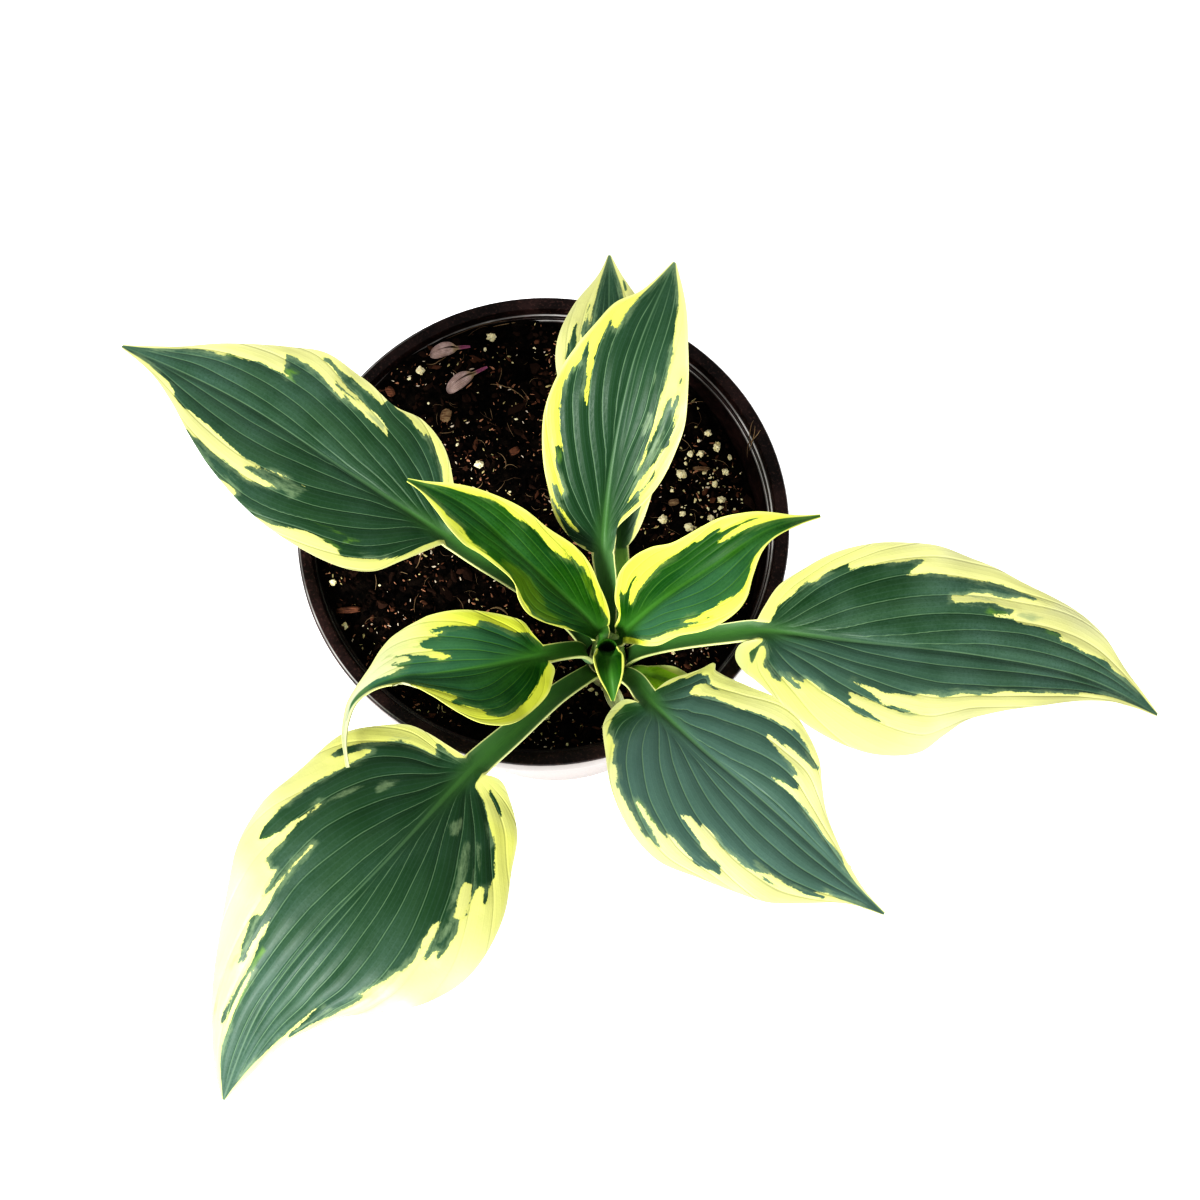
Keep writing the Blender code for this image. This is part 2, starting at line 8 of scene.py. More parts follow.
import math
import random
from contextlib import contextmanager

import bpy
import numpy as np
from mathutils import Matrix, Vector, noise


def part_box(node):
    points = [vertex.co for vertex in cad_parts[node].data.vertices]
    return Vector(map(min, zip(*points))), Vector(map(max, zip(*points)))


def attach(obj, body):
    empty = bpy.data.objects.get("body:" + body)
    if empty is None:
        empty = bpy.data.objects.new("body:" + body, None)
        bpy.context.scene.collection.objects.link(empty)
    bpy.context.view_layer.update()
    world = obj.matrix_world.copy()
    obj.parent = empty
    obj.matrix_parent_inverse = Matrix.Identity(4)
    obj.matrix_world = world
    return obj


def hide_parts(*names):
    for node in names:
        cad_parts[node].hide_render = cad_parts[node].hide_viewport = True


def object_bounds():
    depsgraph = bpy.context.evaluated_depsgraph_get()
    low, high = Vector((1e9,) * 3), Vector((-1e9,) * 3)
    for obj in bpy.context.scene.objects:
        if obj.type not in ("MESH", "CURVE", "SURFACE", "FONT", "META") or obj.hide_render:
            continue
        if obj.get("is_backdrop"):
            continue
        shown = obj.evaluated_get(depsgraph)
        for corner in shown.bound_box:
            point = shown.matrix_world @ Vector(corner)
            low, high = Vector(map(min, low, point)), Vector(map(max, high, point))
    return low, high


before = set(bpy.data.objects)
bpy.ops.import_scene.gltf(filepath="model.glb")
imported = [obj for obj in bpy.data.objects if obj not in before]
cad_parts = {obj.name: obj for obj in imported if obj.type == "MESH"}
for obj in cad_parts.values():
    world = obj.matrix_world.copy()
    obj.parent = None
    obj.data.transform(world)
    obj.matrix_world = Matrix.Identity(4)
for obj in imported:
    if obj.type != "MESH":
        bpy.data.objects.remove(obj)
cad_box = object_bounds()
MM = 0.001
MAP_SCALE = 100.0          # millimetres on a leaf for one unit of its flat map


# Shader kit

class Value:
    """One socket of a material.  Python's operators add its Math nodes."""

    def __init__(self, finish, socket):
        self.finish = finish
        self.socket = socket

    def math(self, operation, *values):
        return self.finish.node("ShaderNodeMath", {"operation": operation}, [self, *values])

    def __add__(self, other):
        return self.math("ADD", other)

    __radd__ = __add__

    def __sub__(self, other):
        return self.math("SUBTRACT", other)

    def __rsub__(self, other):
        return self.finish.node("ShaderNodeMath", {"operation": "SUBTRACT"}, [other, self])

    def __mul__(self, other):
        return self.math("MULTIPLY", other)

    __rmul__ = __mul__

    def __truediv__(self, other):
        return self.math("DIVIDE", other)

    def __abs__(self):
        return self.math("ABSOLUTE")

    def __pow__(self, other):
        return self.math("POWER", other)

    def least(self, other):
        return self.math("MINIMUM", other)

    def most(self, other):
        return self.math("MAXIMUM", other)

    def ramp(self, low, high):
        """0 below low and 1 above high, smooth between; high may lie below low."""
        settings = {"interpolation_type": "SMOOTHSTEP"}
        inputs = {"Value": self, "From Min": low, "From Max": high}
        return self.finish.node("ShaderNodeMapRange", settings, inputs)


class Finish:
    """A material being made, with its one Principled shader."""

    def __init__(self, name, **constants):
        self.material = bpy.data.materials.new(name)
        self.material.use_nodes = True
        self.tree = self.material.node_tree
        self.shader = self.tree.nodes["Principled BSDF"]
        for socket, value in constants.items():
            self.shader.inputs[socket.replace("_", " ")].default_value = value

    def node(self, kind, settings=None, inputs=None, output=0):
        """Add a node: its settings first, then the values or links of its sockets."""
        made = self.tree.nodes.new(kind)
        for key, value in (settings or {}).items():
            setattr(made, key, value)
        pairs = inputs.items() if isinstance(inputs, dict) else enumerate(inputs or [])
        for key, value in pairs:
            if isinstance(value, Value):
                self.tree.links.new(value.socket, made.inputs[key])
            else:
                made.inputs[key].default_value = value
        return Value(self, made.outputs[output])

    def attribute(self, name):
        return self.node("ShaderNodeAttribute", {"attribute_name": name}, output=2)

    def place(self):
        """The point on the piece, in metres."""
        return self.node("ShaderNodeTexCoord", output=3)

    def parts(self, vector):
        """The x, y and z of a vector."""
        split = self.node("ShaderNodeSeparateXYZ", None, [vector]).socket.node
        return [Value(self, socket) for socket in split.outputs]

    def flat_map(self):
        """The two distances of the piece's own flat map."""
        return self.parts(self.node("ShaderNodeUVMap", {"uv_map": "leaf_map"}))[:2]

    def vector(self, x=0.0, y=0.0, z=0.0):
        return self.node("ShaderNodeCombineXYZ", None, [x, y, z])

    def noise(self, where, scale, detail=3.0, roughness=0.55, distortion=0.0):
        """Fractal noise from about 0.2 to 0.8."""
        inputs = {"Vector": where, "Scale": scale, "Detail": detail, "Roughness": roughness,
                  "Distortion": distortion}
        return self.node("ShaderNodeTexNoise", None, inputs)

    def cells(self, where, scale):
        """Distance to the middle of the nearest cell, in cells."""
        return self.node("ShaderNodeTexVoronoi", None, {"Vector": where, "Scale": scale})

    def mix(self, share, first, second):
        """Mix two colours; each is a socket or everyday red, green and blue."""
        made = self.node("ShaderNodeMix", {"data_type": "RGBA"}, {0: share}, output=2).socket.node
        for key, colour in ((6, first), (7, second)):
            if isinstance(colour, Value):
                self.tree.links.new(colour.socket, made.inputs[key])
            else:
                made.inputs[key].default_value = (*rgb(*colour), 1.0)
        return Value(self, made.outputs[2])

    def layers(self, colour, *coats):
        """Lay coats over a first colour; each coat is how much of it shows, and its colour."""
        for share, coat in coats:
            colour = self.mix(share, colour, coat)
        return colour

    def settle(self, colour, roughness, *bump):
        """Link colour, roughness and, if given, a bump: its height, strength and millimetres."""
        links = {"Base Color": colour, "Roughness": roughness}
        if bump:
            height, strength, depth = bump
            inputs = {"Strength": strength, "Distance": depth * MM, "Height": height}
            links["Normal"] = self.node("ShaderNodeBump", None, inputs)
        for socket, value in links.items():
            self.tree.links.new(value.socket, self.shader.inputs[socket])
        return self


# Leaves

# Each leaf: its midrib from foot to tip, how many of those points belong to the stalk,
# the stalk's half width where the blade starts, how far the halves fold up from foot to
# tip in degrees, and the two edges as (distance along the blade, distance from midrib).
# "shade" paints light into the colour: positive values deepen the green and yellow the margin as painted
# shade, negative values blue the green as painted sheen and, when strong, whiten the margin; left half at
# neck and tip, then right.
# "relief" is how strongly the ribs rise, "clasp" how much the stalk's foot widens, "stalk_depth"
# its thickness, "stalk_painted_light" how far the stalk turns a bright yellow-green, partly its own colour
# and partly painted light that lifts it out of the shade it lies in, and "fold_radius" how softly the halves
# bend up from the midrib.  Left and right are as seen from above, looking towards the tip.
LEAVES = {}
LEAVES["left_leaf"] = dict(
    midrib=[(15.6, -42.9, 160), (9.5, -38, 172), (-6, -29, 184), (-19, -22, 190), (-29, -16, 194),
        (-60, 2, 206), (-93, 24, 207), (-135, 48, 195)],
    stalk_points=4, neck=3.0, fold=(14, 10, 7, 5, 4), relief=0.65, shade=(0.4, 0.25, 0.35, 0.1),
    left=[(8, 15), (14, 23), (24, 27.5), (48, 28.5), (71, 23.5), (84, 18), (99, 10), (110, 5)],
    right=[(2, 9), (7, 15), (16, 23.5), (26, 27), (36, 25.5), (50, 27.5), (65, 27.5), (75, 23.5), (92, 15),
        (102, 10), (115, 4.5)],
)
LEAVES["back_tall_leaf"] = dict(
    midrib=[(21, -39.7, 168), (21.3, -36, 180), (21, -29.5, 190), (20, -22, 198), (22, -4, 215),
        (27, 18, 233), (31, 30, 239), (41, 53, 243)],
    stalk_points=3, neck=3.4, fold=(22, 18, 15, 12, 8), shade=(1, 0.7, 0.75, 0.55),
    left=[(3, 8.5), (11, 15.5), (19, 18.5), (29, 21.5), (42, 23), (54, 20.5), (67, 14.5), (75, 11),
        (81, 5.5)],
    right=[(5, 4), (8, 4), (14, 8), (20, 12.5), (28, 16.5), (38, 19), (48, 20), (61, 17.5), (72, 13.5),
        (82, 8.5)],
)
LEAVES["back_low_leaf"] = dict(
    midrib=[(23.4, -39.9, 157), (24.8, -34, 170), (25.8, -26, 180), (25, -17, 188), (24, 9, 203),
        (22, 39, 211), (22, 73, 209)],
    stalk_points=3, neck=2.8, fold=(20, 16, 12, 10, 6), shade=(0.4, 0.4, 0.4, 0.4), stalk_painted_light=1.0,
    left=[(2, 6.5), (16, 11), (31, 13), (47, 16), (62, 17), (76, 11.5), (88, 3.5)],
    right=[(5, 6.5), (18, 11.5), (32, 15), (48, 16), (62, 14.5), (74, 11.5), (88, 4)],
)
LEAVES["inner_left_leaf"] = dict(
    midrib=[(18.5, -44.5, 177.5), (18.4, -43.9, 185), (10, -38, 198), (-5, -28, 215), (-21, -17, 228),
        (-37, -11, 232)],
    stalk_points=1, neck=3.4, fold=(22, 17, 13, 12, 12), clasp=0.4, relief=0.5, shade=(-0.2, 0.3, 0, 0.3),
    left=[(8, 6), (15, 9), (23, 12), (29, 13), (34, 11.5), (38, 8.5), (50, 8.5), (58, 10), (65, 9), (72, 5.5),
        (78, 2)],
    right=[(5, 7), (14, 10), (22, 12.5), (29, 13), (39, 11.5), (50, 10.5), (64, 6), (77, 1.5)],
)
LEAVES["inner_right_leaf"] = dict(
    midrib=[(24.9, -45.2, 177.8), (26, -45, 185), (37, -39, 201), (53, -32, 217), (68, -24, 225),
        (84, -19, 223)],
    stalk_points=1, neck=3.0, fold=(20, 14, 11, 9, 8), clasp=0.4, relief=0.4, shade=(0.6, 0.5, -0.65, 0),
    left=[(5, 5), (7, 8.5), (10, 11.5), (15, 15), (21, 16), (28, 15), (35, 12.5), (47, 11.5), (53, 10.5),
        (60, 7.5), (72, 1.8)],
    right=[(5, 6.5), (9, 9.5), (14, 12), (23, 13.5), (31, 16), (37, 17), (44, 16.5), (48, 14.5), (53, 9.5),
        (60, 4.5), (73, 1.5)],
)
LEAVES["right_leaf"] = dict(
    midrib=[(28.1, -46.7, 160), (33, -47, 173), (44, -47, 184), (57, -47, 192), (67, -47, 196),
        (99, -53, 205), (131, -57, 206), (166, -62, 197), (191, -71, 185)],
    stalk_points=4, neck=3.2, fold=(12, 9, 7, 6, 5), shade=(0, 0, -0.35, 0.05),
    left=[(2, 8), (5, 14.5), (11, 20.5), (20, 27), (34, 32), (49, 33), (68, 29), (79, 25), (98, 19.5),
        (113, 9), (123, 4)],
    right=[(-5, 5), (-6, 9), (-3, 13.5), (4, 18), (12, 23), (22, 29), (38, 34), (51, 32), (58, 26), (64, 21),
        (74, 16.5), (89, 12), (104, 7), (117, 3)],
)
LEAVES["front_right_leaf"] = dict(
    midrib=[(25.2, -52, 159), (27, -54.7, 170), (30.5, -59.7, 180), (34, -66, 185), (48, -82, 195),
        (65, -98, 200), (84, -114, 193), (105, -131, 179)],
    stalk_points=3, neck=3.4, fold=(9, 8, 7, 6, 5), relief=0.8, shade=(-0.5, -0.42, -0.6, -0.42),
    left=[(0, 10), (3, 15), (5, 18.4), (6.2, 22.4), (7.5, 22.6), (9, 21.2), (12, 21.6), (21, 24), (36, 27),
        (46, 25), (55, 21), (62, 14.5), (70, 9), (88, 2)],
    right=[(-4, 6), (-4, 11), (-1, 16), (7, 22), (18, 29), (30, 33.5), (40, 34), (52, 29.5), (61, 26),
        (71, 21.5), (80, 14.5), (91, 6)],
)
LEAVES["front_left_leaf"] = dict(
    midrib=[(16.9, -51.3, 160), (13.5, -55.5, 170), (5, -64, 181), (-8, -78, 190), (-19, -89, 194),
        (-43, -118, 204), (-63, -139, 201), (-80, -159, 189), (-93, -185, 172)],
    stalk_points=4, neck=4.2, fold=(11, 8, 6, 5, 5), shade=(0.65, 0.05, 0.6, 0.15),
    left=[(-2, 9), (0, 14.5), (8, 24), (18, 30), (30, 37), (46, 40.5), (60, 36.5), (73, 28), (80, 22),
        (89, 17.5), (100, 12.5), (117, 6)],
    right=[(1, 10), (2, 17), (4, 23.5), (9, 29.5), (18, 36), (33, 38), (53, 39), (62, 37.5), (71, 32.5),
        (81, 27), (92, 20.5), (104, 13.5), (119, 7)],
)
LEAVES["curled_leaf"] = dict(
    midrib=[(15.1, -48.2, 170), (12.5, -49.5, 182), (7, -52, 190), (2, -54, 194), (-14, -59, 201),
        (-31, -62, 203), (-41, -63.3, 204.5), (-49, -66.6, 205.5), (-54, -71.5, 206), (-55.8, -77, 206),
        (-56.2, -83, 206), (-54.8, -91, 206.5)],
    stalk_points=3, neck=2.8, fold_left=(14, 10, 24, 40, 40, 30, 20), fold_right=(14, 10, 8, 4, 8, 20, 20),
    relief=0.7, shade=(0, -0.9, -0.3, -0.9),
    left=[(-1, 5.5), (1, 9), (4, 13), (11, 17.5), (18, 20.5), (24, 19.5), (29, 16), (34, 11.5), (39, 6.6),
        (44, 3.4), (50, 1.9), (56, 1.2), (63, 0.85), (70, 0.6), (77, 0.45)],
    right=[(2, 6.5), (4, 11), (8, 13.5), (15, 16.5), (26, 18.5), (36, 17.5), (42, 15), (48, 10), (53, 5.0),
        (58, 2.5), (64, 1.4), (70, 0.9), (77, 0.5)],
)
LEAVES["unfurling_leaf"] = dict(
    midrib=[(21.4, -49.6, 177.5), (21.2, -51, 186), (21.4, -54.4, 192), (22, -60, 195.5), (23, -68, 191)],
    stalk_points=2, neck=4.0, fold=(62, 45, 38, 30), fold_radius=1.6, clasp=0.4, relief=0.4,
    left=[(4, 5.8), (9, 3.6), (13, 1.6)],
    right=[(3, 5.6), (9, 3.2), (13, 1.4)],
)
LEAVES["low_leaf"] = dict(
    midrib=[(27.4, -50.7, 150), (29, -52, 160), (34, -54.5, 170), (47, -62, 179), (54, -67, 177)],
    stalk_points=2, neck=2.4, fold=(30, 24, 18), clasp=0.8, relief=0.4,
    left=[(3, 3.4), (10, 5), (16, 4.2), (22, 2.6)],
    right=[(3, 4), (10, 6), (16, 5.6), (22, 3.2)],
)
LEAVES["sheath"] = dict(
    midrib=[(21.8, -53.2, 147), (22.2, -55.4, 152), (23.5, -59, 154.5), (27, -66, 150)],
    stalk_points=1, neck=2.2, fold=(30, 30, 20), stalk_depth=0.8, clasp=0.6,
    left=[(5, 3.2), (9, 2.2)],
    right=[(5, 2.6), (9, 1.8)],
)

# Markings, for each half of a leaf.  Each list runs in pairs: thousandths of the edge's length
# from neck to tip, then hundredths of the way from the midrib to the edge.  "green" is the
# line where the green ends and the cream margin starts, "islands" are green streaks in the
# cream, "pale" are grey-green patches, "faint" are green shadows in the cream, "lime" are
# yellow-green patches, and "veins" run from the midrib outwards.
MARKINGS = {}
MARKINGS["front_left_leaf", "left"] = dict(
    green=[0, 80, 12, 60, 30, 45, 45, 36, 60, 36, 70, 43, 100, 56, 140, 63, 180, 75, 200, 79, 245, 84,
    260, 82, 300, 83, 305, 82, 290, 79, 275, 78, 275, 74, 285, 72, 310, 71, 335, 74, 340, 73, 285, 67,
    285, 62, 300, 60, 325, 62, 355, 66, 350, 70, 370, 74, 420, 77, 420, 74, 410, 73, 415, 70, 440, 72,
    440, 69, 420, 66, 390, 63, 370, 60, 380, 57, 400, 57, 420, 59, 425, 62, 450, 66, 475, 68, 510, 68,
    530, 70, 540, 69, 590, 74, 580, 77, 600, 79, 635, 86, 690, 92, 720, 91, 790, 94, 790, 90, 775, 85,
    725, 78, 665, 68, 700, 71, 740, 76, 790, 80, 830, 81, 860, 79, 910, 72, 970, 60, 1000, 50],
    islands=[[55, 68, 80, 76, 115, 83, 120, 80, 70, 67]],
    pale=[[190, 56, 200, 64, 240, 70, 280, 73, 320, 71], [200, 46, 210, 55, 260, 61, 340, 63, 370, 60,
    230, 45], [350, 64, 360, 71, 400, 71, 410, 66, 380, 63], [620, 80, 650, 86, 700, 90, 790, 93, 780, 87,
    720, 80, 660, 76], [160, 28, 155, 36, 180, 40, 210, 38, 220, 30, 190, 24]],
    faint=[[450, 67, 550, 82, 585, 85, 600, 80, 570, 73, 530, 69]],
    veins=[[360, 2, 600, 10, 700, 16, 800, 17, 920, 15], [300, 4, 400, 8, 500, 16, 600, 24, 700, 36, 820, 40],
    [200, 4, 300, 10, 500, 28, 600, 40, 700, 56, 820, 62], [120, 6, 230, 18, 350, 26, 450, 36, 550, 50,
    650, 67, 750, 77, 860, 82], [80, 8, 400, 46, 680, 88], [50, 14, 100, 26, 200, 42, 370, 59, 550, 85],
    [30, 18, 200, 57, 250, 65, 310, 71, 400, 85], [20, 30, 80, 50, 140, 63, 220, 78, 300, 90]],
)
MARKINGS["front_left_leaf", "right"] = dict(
    green=[0, 80, 15, 66, 30, 62, 45, 74, 60, 90, 70, 84, 80, 62, 95, 64, 110, 70, 150, 81, 260, 91, 285, 91,
    280, 87, 220, 78, 215, 75, 250, 74, 320, 82, 350, 84, 440, 86, 490, 86, 505, 83, 490, 78, 470, 74,
    360, 68, 370, 66, 430, 68, 480, 67, 520, 70, 525, 68, 530, 64, 525, 58, 550, 58, 585, 61, 550, 53,
    520, 50, 440, 49, 435, 48, 460, 46, 500, 48, 610, 53, 620, 60, 640, 63, 660, 61, 720, 62, 720, 58,
    710, 54, 680, 52, 620, 46, 595, 42, 660, 43, 700, 42, 720, 43, 810, 66, 835, 75, 840, 70, 830, 62,
    800, 53, 770, 46, 730, 40, 710, 36, 740, 37, 770, 40, 890, 66, 920, 68, 950, 66, 980, 60, 1000, 50],
    pale=[[600, 53, 620, 61, 640, 64, 730, 62, 700, 53, 660, 50], [600, 41, 650, 47, 700, 50, 740, 48,
    710, 42], [730, 42, 840, 75, 840, 64, 790, 51], [250, 52, 290, 60, 340, 66, 380, 66, 300, 55], [190, 40,
    210, 47, 250, 49, 270, 42, 230, 38]],
    faint=[[130, 80, 120, 84, 160, 85, 170, 83], [700, 62, 710, 70, 740, 73, 740, 65], [800, 85, 820, 100,
    840, 100, 825, 85]],
    lime=[[660, 31, 660, 38, 690, 42, 720, 42, 710, 35], [730, 30, 740, 38, 840, 56, 850, 54, 760, 33],
    [470, 74, 500, 83, 520, 84, 500, 76]],
    veins=[[450, 2, 700, 4, 950, 22], [200, 3, 370, 13, 500, 16, 680, 25, 740, 31, 820, 45], [150, 9, 350, 29,
    720, 47, 820, 60], [100, 17, 170, 23, 330, 46, 400, 52, 500, 53, 560, 57, 650, 66, 750, 80], [60, 27,
    120, 33, 170, 44, 330, 67, 500, 75, 600, 88], [50, 33, 90, 40, 150, 60, 200, 69, 400, 87], [30, 40,
    100, 65, 150, 78, 220, 88]],
)
MARKINGS["left_leaf", "left"] = dict(
    green=[0, 50, 20, 45, 60, 70, 80, 80, 110, 85, 130, 86, 145, 83, 160, 84, 170, 82, 240, 88, 250, 87,
    255, 83, 280, 80, 310, 79, 330, 80, 390, 95, 450, 103, 495, 103, 490, 95, 510, 94, 530, 96, 560, 103,
    700, 103, 695, 98, 670, 96, 650, 90, 610, 86, 580, 81, 500, 76, 460, 69, 435, 60, 470, 64, 525, 69,
    520, 64, 510, 60, 470, 51, 440, 46, 380, 40, 420, 43, 460, 48, 500, 55, 550, 60, 750, 79, 790, 82,
    800, 70, 815, 72, 820, 65, 850, 66, 875, 66, 900, 60, 940, 56, 970, 60, 1000, 50],
    pale=[[380, 41, 385, 55, 400, 62, 435, 60, 525, 69, 515, 60, 450, 48], [400, 93, 420, 103, 460, 103,
    430, 95], [800, 56, 810, 66, 860, 69, 880, 64, 870, 54]],
    lime=[[250, 82, 260, 77, 330, 78, 270, 83], [370, 70, 220, 64, 260, 78, 250, 66], [670, 96, 680, 103,
    710, 103, 700, 98]],
    veins=[[360, 2, 600, 18, 700, 20, 920, 18], [200, 2, 350, 14, 450, 24, 500, 31, 600, 40, 700, 46, 800, 51,
    920, 45], [120, 3, 250, 14, 400, 40, 550, 61, 780, 80], [80, 6, 250, 33, 350, 53, 500, 74, 600, 84],
    [60, 12, 120, 22, 200, 42, 410, 82, 470, 90, 600, 98], [30, 20, 50, 35, 100, 50, 170, 60, 220, 70,
    350, 81, 420, 95], [20, 30, 50, 52, 100, 68, 160, 78, 300, 92]],
)
MARKINGS["left_leaf", "right"] = dict(
    green=[0, 70, 20, 50, 50, 60, 80, 72, 120, 80, 150, 84, 200, 88, 230, 92, 240, 90, 230, 86, 250, 87,
    270, 90, 300, 97, 320, 98, 345, 103, 350, 95, 350, 91, 410, 90, 450, 93, 455, 90, 500, 92, 510, 95,
    525, 94, 530, 92, 520, 90, 500, 90, 490, 86, 470, 83, 440, 80, 400, 77, 320, 74, 310, 70, 300, 61,
    315, 62, 330, 65, 440, 68, 445, 66, 490, 69, 520, 75, 540, 77, 550, 80, 570, 82, 605, 88, 600, 83,
    600, 78, 590, 62, 575, 57, 600, 60, 650, 68, 680, 68, 730, 78, 735, 74, 730, 70, 750, 72, 770, 78,
    830, 87, 870, 86, 910, 82, 950, 75, 1000, 50],
    islands=[[400, 72, 420, 74, 460, 74, 480, 78, 470, 73, 430, 71]],
    pale=[[350, 66, 360, 70, 420, 71, 450, 68, 400, 66], [390, 84, 400, 87, 440, 90, 500, 92, 490, 86],
    [520, 68, 610, 86, 600, 78, 560, 70], [800, 76, 830, 88, 870, 88, 850, 80], [120, 72, 130, 80, 170, 85,
    200, 85, 180, 76]],
    faint=[[310, 62, 320, 74, 370, 76, 380, 70]],
    lime=[[555, 53, 570, 60, 550, 64, 555, 67, 580, 70, 595, 64, 580, 56], [680, 68, 735, 78, 735, 71]],
    veins=[[200, 2, 300, 4, 550, 14, 650, 20, 720, 26, 800, 40, 900, 45], [120, 3, 550, 33, 650, 44, 760, 60,
    880, 70], [100, 10, 270, 25, 350, 39, 550, 51, 680, 70], [70, 15, 250, 40, 300, 50, 350, 57, 500, 66,
    550, 71, 610, 82], [50, 25, 170, 49, 220, 53, 270, 60, 330, 75, 460, 81, 520, 90], [30, 35, 140, 62,
    270, 80, 360, 98]],
)
MARKINGS["right_leaf", "left"] = dict(
    green=[0, 80, 10, 55, 30, 33, 45, 25, 50, 35, 60, 45, 70, 60, 110, 65, 130, 73, 150, 76, 155, 73, 170, 72,
    180, 76, 220, 81, 240, 82, 245, 75, 250, 74, 270, 76, 330, 78, 410, 84, 405, 80, 390, 74, 385, 70,
    375, 67, 420, 71, 500, 76, 550, 82, 600, 86, 655, 88, 650, 84, 620, 80, 600, 74, 580, 71, 550, 68,
    510, 62, 500, 58, 480, 55, 478, 48, 500, 50, 560, 59, 590, 60, 615, 63, 610, 57, 605, 54, 585, 52,
    570, 49, 575, 46, 620, 52, 625, 48, 690, 53, 720, 53, 725, 50, 720, 46, 730, 44, 790, 48, 810, 52,
    825, 60, 835, 62, 845, 57, 860, 57, 880, 63, 890, 70, 910, 72, 925, 75, 950, 74, 970, 68, 1000, 50],
    pale=[[560, 76, 600, 83, 655, 88, 650, 84, 610, 77], [80, 48, 80, 60, 120, 66, 130, 72, 160, 70],
    [470, 47, 480, 53, 520, 54, 580, 61, 615, 62, 520, 49]],
    faint=[[620, 53, 620, 60, 650, 67, 700, 70, 660, 56], [480, 56, 510, 62, 600, 67, 570, 61], [660, 88,
    670, 85, 700, 90]],
    lime=[[550, 48, 560, 54, 600, 56, 610, 53, 575, 47], [680, 46, 690, 52, 725, 53, 720, 47], [380, 68,
    385, 74, 400, 78, 400, 72]],
    veins=[[380, 1, 500, 7, 570, 14, 650, 18, 750, 20, 800, 23, 870, 33, 950, 35], [240, 1, 400, 11, 650, 38,
    750, 39, 840, 45, 930, 60], [140, 2, 250, 12, 300, 19, 570, 46, 740, 60, 850, 75], [90, 5, 250, 32,
    450, 52, 720, 88], [50, 11, 100, 22, 150, 36, 250, 54, 370, 67, 600, 86], [30, 18, 150, 58, 200, 67,
    250, 74, 420, 88], [20, 25, 60, 45, 100, 60, 140, 70, 200, 79, 300, 90]],
)
MARKINGS["right_leaf", "right"] = dict(
    green=[0, 80, 15, 66, 30, 60, 40, 62, 50, 66, 60, 80, 88, 87, 85, 81, 55, 62, 60, 55, 80, 55, 95, 62,
    100, 68, 115, 75, 135, 78, 150, 83, 165, 82, 170, 78, 160, 74, 180, 74, 205, 75, 215, 72, 205, 70,
    180, 70, 175, 68, 205, 68, 210, 65, 205, 61, 220, 60, 280, 63, 340, 70, 385, 72, 360, 69, 355, 66,
    310, 62, 310, 57, 300, 54, 315, 53, 345, 55, 370, 56, 410, 62, 440, 62, 365, 55, 365, 52, 330, 46,
    310, 45, 300, 42, 320, 42, 370, 45, 435, 47, 430, 44, 460, 44, 490, 51, 515, 53, 530, 52, 570, 60,
    600, 62, 620, 60, 640, 60, 660, 63, 700, 66, 720, 64, 740, 68, 770, 70, 795, 70, 797, 66, 795, 62,
    810, 60, 880, 56, 940, 60, 970, 58, 1000, 50],
    pale=[[460, 42, 470, 47, 570, 61, 790, 63, 790, 58, 650, 53, 500, 42], [110, 70, 130, 78, 165, 82,
    160, 74, 130, 66]],
    faint=[[400, 61, 430, 65, 470, 64, 440, 60]],
    veins=[[300, 10, 450, 14, 570, 20, 920, 25], [80, 18, 370, 24, 450, 30, 600, 49, 730, 53, 850, 52],
    [70, 25, 200, 28, 350, 36, 450, 45, 620, 68, 800, 78], [50, 30, 200, 41, 440, 62, 550, 78], [40, 37,
    100, 42, 120, 49, 170, 57, 370, 71, 500, 88], [30, 45, 60, 50, 130, 70, 260, 88]],
)
MARKINGS["front_right_leaf", "left"] = dict(
    green=[0, 90, 80, 90, 100, 86, 125, 88, 145, 87, 150, 81, 170, 81, 200, 79, 235, 80, 260, 84, 220, 76,
    180, 72, 150, 64, 145, 52, 150, 48, 200, 59, 230, 64, 270, 67, 340, 70, 440, 80, 480, 88, 510, 90,
    530, 91, 555, 90, 575, 93, 595, 100, 590, 93, 580, 87, 560, 82, 510, 72, 430, 60, 420, 57, 460, 56,
    475, 57, 485, 56, 500, 56, 520, 59, 550, 60, 555, 58, 550, 52, 560, 52, 580, 54, 580, 50, 585, 48,
    575, 44, 505, 28, 520, 28, 550, 31, 610, 41, 700, 52, 725, 50, 740, 56, 760, 62, 800, 71, 805, 65,
    820, 56, 850, 46, 880, 40, 920, 40, 960, 42, 1000, 40],
    pale=[[720, 50, 800, 70, 800, 60, 760, 53], [250, 40, 270, 44, 340, 50, 420, 56, 430, 54, 300, 42]],
    lime=[[505, 28, 520, 33, 550, 38, 555, 36, 530, 30]],
    veins=[[360, 2, 850, 20], [240, 3, 400, 13, 680, 46, 800, 50], [120, 7, 200, 13, 300, 25, 400, 32,
    500, 46, 620, 57, 750, 75], [80, 12, 150, 22, 250, 41, 500, 63, 600, 78], [50, 20, 100, 36, 200, 57,
    270, 65, 400, 73, 600, 95], [30, 30, 60, 50, 100, 65, 150, 74, 350, 90]],
)
